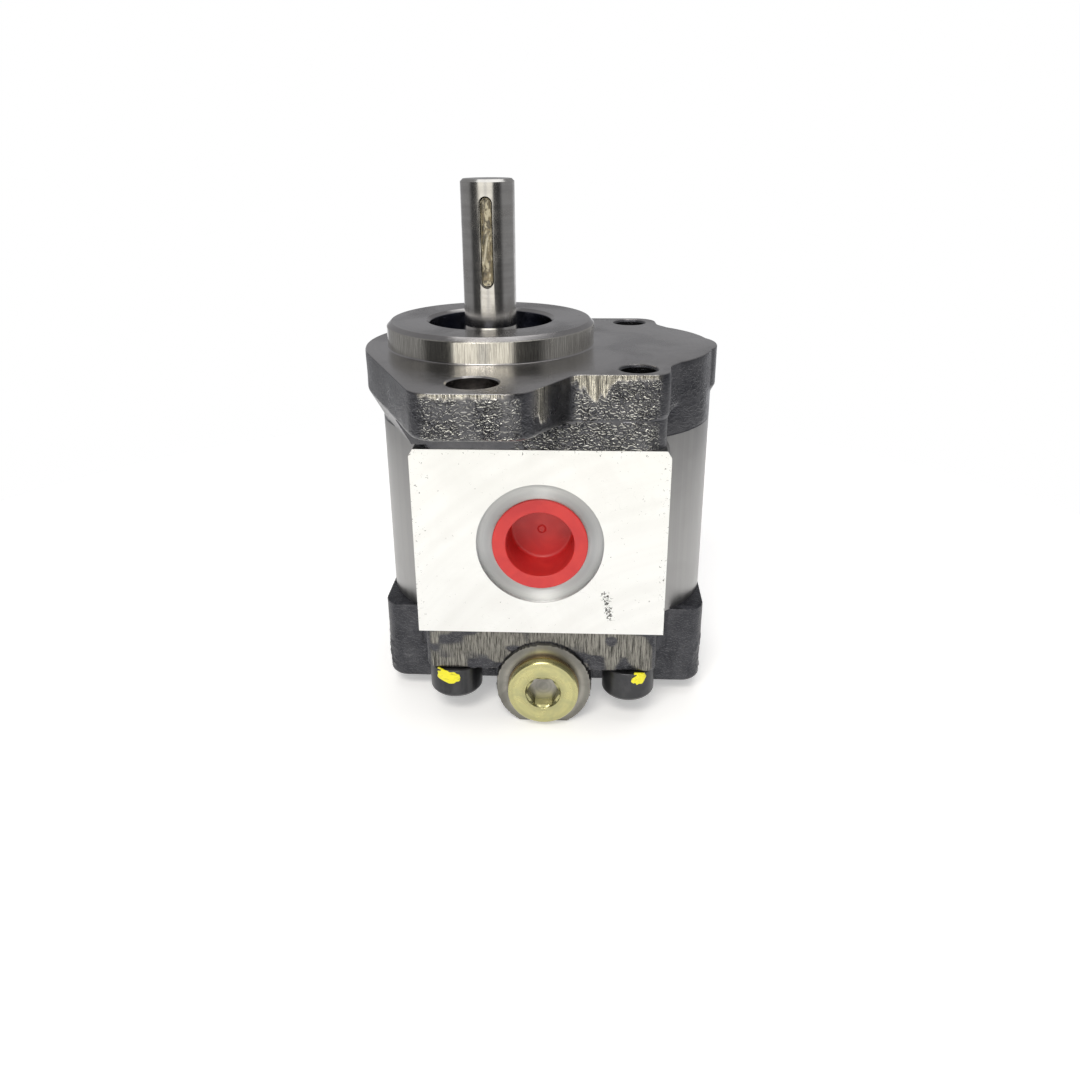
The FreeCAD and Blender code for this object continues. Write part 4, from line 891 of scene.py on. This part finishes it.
def makeHousingAluminium():
    # extruded aluminium with lines along the shaft, fly-cut on the port pads (|Y| at its most)
    # and turned round each port
    m = padMarks
    material, tree, shader, place = startMaterial("housingAluminium", Metallic=1.0, IOR=1.5)
    split = splitXyz(tree, place)
    depth = calc(tree, "ABSOLUTE", split[1])
    pad = ramp(tree, depth, m["face"] - 0.05, m["face"] + 0.05)
    recess = times(tree, ramp(tree, depth, m["recess"] - 0.05, m["recess"] + 0.05),
                   calc(tree, "SUBTRACT", 1.0, pad))
    lines = effect(tree, drawnLines, Vector=place, Across=0.5, Along=120.0)
    hands = effect(tree, handling, Vector=place, Size=16.0)
    aboutPort = placed(tree, place, "TEXTURE", portCentre, sideways)
    rings = effect(tree, turnedMarks, Vector=aboutPort, Pitch=0.25)
    aboutCutter = placed(tree, place, "TEXTURE", m["cutterCentre"], sideways)
    sweeps = effect(tree, turnedMarks, Vector=aboutCutter, Pitch=0.5)
    skin = mixColour(tree, lines["Streak"], (0.335, 0.332, 0.330, 1), (0.380, 0.377, 0.372, 1))
    skin = partMix(tree, hands["Smear"], 0.25, skin, (0.28, 0.275, 0.27, 1))
    flyCut = partMix(tree, sweeps["Band"], 0.6, (0.83, 0.835, 0.82, 1),
                       (0.78, 0.782, 0.765, 1))
    flyCut = partMix(tree, hands["Smear"], 0.35, flyCut, (0.72, 0.72, 0.70, 1))
    flyCut = partMix(tree, hands["Speck"], 0.9, flyCut, (0.10, 0.10, 0.09, 1))
    flyCut = partMix(tree, hands["Scratch"], 0.35, flyCut, (0.35, 0.35, 0.34, 1))
    # nicks: a cluster low on the right, more along the edges
    fromCluster = calc(tree, "SUBTRACT", split[2], m["clusterZ"])
    slanted = timesPlus(tree, fromCluster, m["clusterSlant"], split[0])
    cluster = times(tree, ramp(tree, gap(tree, slanted, m["clusterX"]), 0.3, 1.8, 1.0, 0.0),
                    ramp(tree, calc(tree, "ABSOLUTE", fromCluster), 3.2, 4.8, 1.0, 0.0))
    cluster = times(tree, cluster, ramp(tree, split[1], -1.0, 1.0, 1.0, 0.0))
    border = calc(tree, "MAXIMUM", ramp(tree, gap(tree, split[0], portCentre[0]), 25.6, 29.0),
                  ramp(tree, split[2], -19.6, -17.2))
    chips = noise(tree, place, 1.5, 3.0, 0.65, 1.2)
    nicks = timesPlus(tree, border, 0.06, timesPlus(tree, cluster, 0.20, chips))
    nicks = ramp(tree, nicks, 0.70, 0.73)
    flyCut = partMix(tree, nicks, 0.92, flyCut, (0.045, 0.045, 0.042, 1))
    ringColour = mixColour(tree, rings["Band"], (0.60, 0.615, 0.62, 1), (0.70, 0.71, 0.705, 1))
    colour = mixColour(tree, recess, mixColour(tree, pad, skin, flyCut), ringColour)
    drive(shader, "Base Color", colour)
    sides = timesPlus(tree, lines["Streak"], 0.08, 0.36)
    rough = blend(tree, recess, blend(tree, pad, sides, 0.42), 0.56)
    drive(shader, "Roughness", rough)
    height = blend(tree, recess, blend(tree, pad, lines["Height"], sweeps["Height"]), rings["Height"])
    bumped(tree, shader, times(tree, height, blend(tree, recess, 0.10, 0.8)), 1.0, 0.06 * mm)
    turnedSheen(tree, shader, portCentre, (0, 1, 0), times(tree, recess, 0.95))
    return material


def makeTurnedMetal(name, pale, dark, rough, centre=(0, 0, 0), turn=(0, 0, 0), pitch=0.2, depth=0.2,
                    metallic=1.0, stain=None, size=10.0):
    # any lathe-turned or ground metal: rings round its own axis, smears and specks
    material, tree, shader, place = startMaterial(name, centre, turn, Metallic=metallic)
    rings = effect(tree, turnedMarks, Vector=place, Pitch=pitch)
    hands = effect(tree, handling, Vector=place, Size=size)
    colour = mixColour(tree, rings["Band"], pale, dark)
    colour = partMix(tree, hands["Smear"], 0.45, colour, stain or dark)
    colour = mixColour(tree, hands["Speck"], colour, grey(0.05, 0.1))
    drive(shader, "Base Color", colour)
    value = timesPlus(tree, hands["Smear"], 0.12, rough)
    value = timesPlus(tree, hands["Scratch"], 0.25, value)
    drive(shader, "Roughness", value)
    bumped(tree, shader, rings["Height"], depth, 0.04 * mm)
    return material


def makeGroundSteel():
    # cylindrically ground shaft: fine bands across the axis, faint along it
    material, tree, shader, place = startMaterial("groundSteel", Metallic=1.0)
    flat = scaled(tree, place, (0.008, 0.008, 1.0))
    bands = noise(tree, flat, 5.5, 4.0, 0.75)
    tone = noise(tree, flat, 0.4, 3.0, 0.6)
    hands = effect(tree, handling, Vector=place, Size=9.0)
    colour = mixColour(tree, ramp(tree, tone, 0.35, 0.65), (0.46, 0.45, 0.43, 1), (0.55, 0.54, 0.515, 1))
    colour = partMix(tree, hands["Smear"], 0.4, colour, (0.36, 0.34, 0.315, 1))
    colour = partMix(tree, hands["Speck"], 0.8, colour, (0.23, 0.14, 0.04, 1))
    drive(shader, "Base Color", colour)
    value = timesPlus(tree, hands["Smear"], 0.1, 0.15)
    drive(shader, "Roughness", timesPlus(tree, bands, 0.08, value))
    bumped(tree, shader, bands, 0.12, 0.03 * mm)
    return material


def makePlastic(name, colour, shade, rough, subsurface=0.0, size=8.0):
    # moulded plastic: a faint flow pattern, orange peel and dulled scuffs
    material, tree, shader, place = startMaterial(name, Metallic=0.0, IOR=1.5)
    shader.inputs["Subsurface Weight"].default_value = subsurface
    shader.inputs["Subsurface Radius"].default_value = (0.004, 0.0012, 0.001)
    hands = effect(tree, handling, Vector=place, Size=size)
    flow = noise(tree, place, 0.12, 3.0, 0.5, 1.5)
    peel = noise(tree, place, 2.2, 2.0, 0.5)
    tone = mixColour(tree, ramp(tree, flow, 0.3, 0.7), colour, shade)
    scuffed = tuple(min(1.0, v * 1.25 + 0.03) for v in colour[:3]) + (1.0,)
    tone = partMix(tree, hands["Scratch"], 0.5, tone, scuffed)
    drive(shader, "Base Color", tone)
    drive(shader, "Roughness", timesPlus(tree, hands["Smear"], 0.14, rough))
    bumped(tree, shader, peel, 0.1, 0.04 * mm)
    return material


def makeRubber(name, colour):
    # moulded nitrile rubber with a bloom and an oily sheen in places
    material, tree, shader, place = startMaterial(name, Metallic=0.0, IOR=1.52)
    hands = effect(tree, handling, Vector=place, Size=6.0)
    rings = effect(tree, turnedMarks, Vector=place, Pitch=0.35)
    bloom = tuple(v * 2.6 + 0.012 for v in colour[:3]) + (1.0,)
    tone = partMix(tree, hands["Smear"], 0.6, colour, bloom)
    drive(shader, "Base Color", mixColour(tree, hands["Speck"], tone, grey(0.25)))
    drive(shader, "Roughness", timesPlus(tree, hands["Smear"], 0.22, 0.34))
    bumped(tree, shader, rings["Height"], 0.25, 0.05 * mm)
    return material


def makeGreaseFilm():
    # amber preservative grease: glossy, darker in patches, pale where it is smeared and along a line just
    # inside its rim, and nearly black on the rim itself as painted shade from the slot's walls
    material, tree, shader, place = startMaterial("keywayGrease", Metallic=0.0, IOR=1.48, Roughness=0.16,
                                                  Coat_Weight=0.6, Coat_Roughness=0.08)
    pale = maskFrom(tree, "pale")
    edge = maskFrom(tree, "edge")
    lumps = noise(tree, place, 0.42, 3.0, 0.6, 0.7)
    streaks = noise(tree, scaled(tree, place, (1.6, 1.0, 0.55)), 0.8, 3.0, 0.6)
    tone = mixColour(tree, ramp(tree, lumps, 0.35, 0.65), (0.035, 0.028, 0.014, 1), (0.20, 0.155, 0.075, 1))
    tone = mixColour(tree, ramp(tree, streaks, 0.52, 0.62), tone, (0.50, 0.45, 0.31, 1))
    tone = partMix(tree, pale, 0.85, tone, (0.66, 0.61, 0.47, 1))
    # painted shade: the rim turns nearly black where the slot's walls would shade it
    tone = mixColour(tree, edge, tone, (0.008, 0.007, 0.006, 1))
    drive(shader, "Base Color", tone)
    bumped(tree, shader, streaks, 0.4, 0.15 * mm)
    return material


def makePaint():
    # bright yellow witness paint with darker brush strokes
    material, tree, shader, place = startMaterial("witnessPaint", Metallic=0.0, Roughness=0.38,
                                                  Coat_Weight=0.2)
    strokes = noise(tree, scaled(tree, place, (0.5, 0.5, 2.2)), 1.6, 4.0, 0.6, 0.5)
    tone = mixColour(tree, ramp(tree, strokes, 0.56, 0.78), (0.83, 0.76, 0.012, 1), (0.33, 0.29, 0.012, 1))
    drive(shader, "Base Color", tone)
    bumped(tree, shader, strokes, 0.4, 0.12 * mm)
    return material


alongValve = {"centre": valveCentre, "turn": sideways}
finishes = {
    "flange_iron": makeIron(),
    "cover_iron": makeCoverIron(),
    "housing_aluminium": makeHousingAluminium(),
    "shaft_steel": makeGroundSteel(),
    "gear_steel": makeTurnedMetal("gearSteel", grey(0.50, 0.02), grey(0.38, 0.02), 0.18, (27, 0, 0)),
    "block_aluminium": makeTurnedMetal("bearingAluminium", grey(0.74), grey(0.62), 0.3),
    "bush_bronze": makeTurnedMetal("bushBronze", (0.62, 0.42, 0.20, 1), (0.48, 0.31, 0.14, 1), 0.28),
    "seal_rubber": makeRubber("sealRubber", (0.012, 0.016, 0.030, 1)),
    "strip_plastic": makePlastic("stripPlastic", (0.62, 0.58, 0.50, 1), (0.55, 0.51, 0.43, 1), 0.42),
    "case_steel": makeTurnedMetal("caseSteel", grey(0.42), grey(0.33), 0.3),
    "spring_steel": makeTurnedMetal("springSteel", grey(0.45), grey(0.34), 0.25, **alongValve),
    "bolt_black": makeTurnedMetal("blackOxide", (0.040, 0.041, 0.044, 1), (0.062, 0.063, 0.067, 1), 0.32,
                                  (*screwShape["places"][2], 0), pitch=0.3, metallic=0.85,
                                  stain=(0.095, 0.095, 0.10, 1), size=6.0),
    "dowel_steel": makeTurnedMetal("dowelSteel", grey(0.55), grey(0.45), 0.2),
    "plug_red": makePlastic("plugRed", (0.60, 0.034, 0.030, 1), (0.52, 0.024, 0.026, 1), 0.34, 0.05),
    "zinc_yellow": makeTurnedMetal("zincYellow", (0.56, 0.53, 0.255, 1), (0.44, 0.42, 0.21, 1), 0.27,
                                   **alongValve, pitch=0.35, depth=0.35, stain=(0.34, 0.35, 0.21, 1),
                                   size=5.0),
    "washer_copper": makeTurnedMetal("washerCopper", (0.36, 0.28, 0.17, 1), (0.26, 0.20, 0.12, 1), 0.3,
                                     **alongValve),
    "grease": makeGreaseFilm(),
    "paint": makePaint(),
}
print("finishes ready")


def finish(piece, key):
    piece.data.materials.clear()
    piece.data.materials.append(finishes[key])


def addPiece(piece, key, slotName, body, *replaced):
    finish(piece, key)
    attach(piece, body)
    if replaced:
        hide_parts(*replaced)
    print("made", piece.name, len(piece.data.polygons), "faces")
    return piece


addPiece(makeFlange(), "flange_iron", "flange_iron", "housing", "front_flange")
addPiece(makeCover(), "cover_iron", "cover_iron", "housing", "rear_cover")
addPiece(makePortPlug("inlet_plug_body", -1), "plug_red", "plug_red", "inlet_plug", "inlet_port_plug")
addPiece(makePortPlug("outlet_plug_body", 1), "plug_red", "plug_red", "outlet_plug", "outlet_port_plug")
addPiece(makeReliefPlug(), "zinc_yellow", "zinc_yellow", "housing", "relief_plug")
for number, place in enumerate(screwShape["places"], 1):
    addPiece(makeScrew(f"body_screw_{number}", place), "bolt_black", "bolt_black", "housing", "body_bolts")
for daub in paintShape["daubs"]:
    addPiece(makePaintMark(*daub), "paint", "bolt_black", "housing")
addPiece(makeGrease(), "grease", "hardened_steel", "drive_shaft")

spring = addPiece(makeSpring(), "spring_steel", "spring_steel", "housing", "relief_spring")
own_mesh(spring)

cadFinish = {
    "gear_housing": "housing_aluminium", "drive_gear_shaft": "shaft_steel",
    "driven_gear_shaft": "gear_steel", "shaft_seal": "seal_rubber", "seal_case": "case_steel",
    "garter_spring": "spring_steel", "relief_poppet": "gear_steel",
    "relief_seat": "gear_steel", "relief_plug_washer": "washer_copper",
    "front_dowels": "dowel_steel", "rear_dowels": "dowel_steel",
}
for name in nodes:
    if name.endswith("bush"):
        cadFinish[name] = "bush_bronze"
    elif name.endswith("bearing_block"):
        cadFinish[name] = "block_aluminium"
    elif name.endswith("strip"):
        cadFinish[name] = "strip_plastic"
    elif name.endswith("seal") and name not in cadFinish:
        cadFinish[name] = "seal_rubber"
for name, key in cadFinish.items():
    for materialSlot in nodes[name].material_slots:
        materialSlot.material = finishes[key]
    if not nodes[name].material_slots:
        nodes[name].data.materials.append(finishes[key])
print("pieces ready")


floorSetup = {"radius": 0.24, "gap": 0.05, "corners": 96, "tone": 0.9, "glow": 0.35}


def makeFloor():
    # a pale disc just under the pump, glowing faintly so that its edge melts into the white
    s = floorSetup
    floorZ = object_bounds()[0][2] - s["gap"] * mm
    mesh = bpy.data.meshes.new("floor")
    angle = np.arange(s["corners"]) * 2 * math.pi / s["corners"]
    rim = np.stack([s["radius"] * np.cos(angle), s["radius"] * np.sin(angle), 0 * angle + floorZ], -1)
    mesh.from_pydata(rim.tolist(), [], [list(range(s["corners"]))])
    floor = bpy.data.objects.new("floor", mesh)
    bpy.context.scene.collection.objects.link(floor)
    material = bpy.data.materials.new("paleFloor")
    material.use_nodes = True
    shader = material.node_tree.nodes["Principled BSDF"]
    shader.inputs["Base Color"].default_value = grey(s["tone"])
    shader.inputs["Roughness"].default_value = 0.9
    shader.inputs["Emission Color"].default_value = grey(1.0)
    shader.inputs["Emission Strength"].default_value = s["glow"]
    floor.data.materials.append(material)


worldSetup = {"level": 0.35, "beside": -0.29, "front": 1.2, "behind": 0.6, "frontAt": -0.07,
              "gapAt": -0.05}


def makeWorld():
    # a soft studio: a front light with a dim gap in it, dark beside that, grey further round and
    # lighter behind, below the horizon; the camera itself sees plain white
    s = worldSetup
    world = bpy.data.worlds.new("studio")
    world.use_nodes = True
    bpy.context.scene.world = world
    tree = world.node_tree
    background = tree.nodes["Background"]
    direction = addNode(tree, "ShaderNodeTexCoord").outputs["Generated"]
    split = splitXyz(tree, direction)
    azimuth = calc(tree, "ARCTAN2", split[0], times(tree, split[1], -1.0))
    fromFront = gap(tree, azimuth, s["frontAt"])
    front = times(tree, ramp(tree, fromFront, 0.52, 0.60, 1.0, 0.0),
                  ramp(tree, gap(tree, azimuth, s["gapAt"]), 0.05, 0.12, 0.6, 1.0))
    beside = times(tree, ramp(tree, fromFront, 0.52, 0.60), ramp(tree, fromFront, 1.05, 1.35, 1.0, 0.0))
    low = ramp(tree, split[2], 0.72, 0.9, 1.0, 0.0)
    behind = times(tree, ramp(tree, fromFront, 2.45, 2.7), ramp(tree, split[2], -0.12, 0.0, 1.0, 0.0))
    level = timesPlus(tree, beside, s["beside"], s["level"])
    level = timesPlus(tree, times(tree, front, low), s["front"], level)
    level = timesPlus(tree, behind, s["behind"], level)
    tint = mixColour(tree, front, (1.0, 1.0, 1.03, 1), (1.0, 0.97, 0.90, 1))
    path = addNode(tree, "ShaderNodeLightPath").outputs["Is Camera Ray"]
    drive(background, "Color", mixColour(tree, path, tint, (1, 1, 1, 1)))
    drive(background, "Strength", blend(tree, path, level, 1.0))


def addLight(name, place, target, size, power, colour=(1, 1, 1)):
    light = bpy.data.lights.new(name, "AREA")
    light.shape, light.size, light.size_y = "RECTANGLE", size[0], size[1]
    light.energy, light.color = power, colour
    lamp = bpy.data.objects.new(name, light)
    lamp.location = place
    lamp.rotation_euler = (Vector(target) - Vector(place)).to_track_quat("-Z", "Y").to_euler()
    bpy.context.scene.collection.objects.link(lamp)


cameraSetup = {"place": (0.024, -0.234, 0.0476), "turn": 2.99, "tilt": -23.3, "roll": -0.37,
               "lens": 31.47, "sensor": 36.0}


def makeCamera():
    s = cameraSetup
    camera = bpy.data.objects.new("camera", bpy.data.cameras.new("camera"))
    camera.data.lens, camera.data.sensor_width = s["lens"], s["sensor"]
    camera.data.clip_start = 0.01
    turn = Matrix.Rotation(math.radians(s["turn"]), 4, "Z")
    tilt = Matrix.Rotation(math.radians(90 + s["tilt"]), 4, "X")
    roll = Matrix.Rotation(math.radians(s["roll"]), 4, "Z")
    camera.matrix_world = Matrix.Translation(s["place"]) @ turn @ tilt @ roll
    bpy.context.scene.collection.objects.link(camera)
    bpy.context.scene.camera = camera


makeFloor()
makeWorld()
addLight("key", (-0.12, -0.70, 0.75), (0.01, 0, -0.03), (0.45, 0.3), 4.5, (1.0, 0.97, 0.92))
addLight("top", (0.05, 0.15, 0.9), (0.01, 0, 0), (0.8, 0.8), 3.0)
makeCamera()
bpy.context.scene.view_settings.view_transform = "Standard"
print("stage ready")
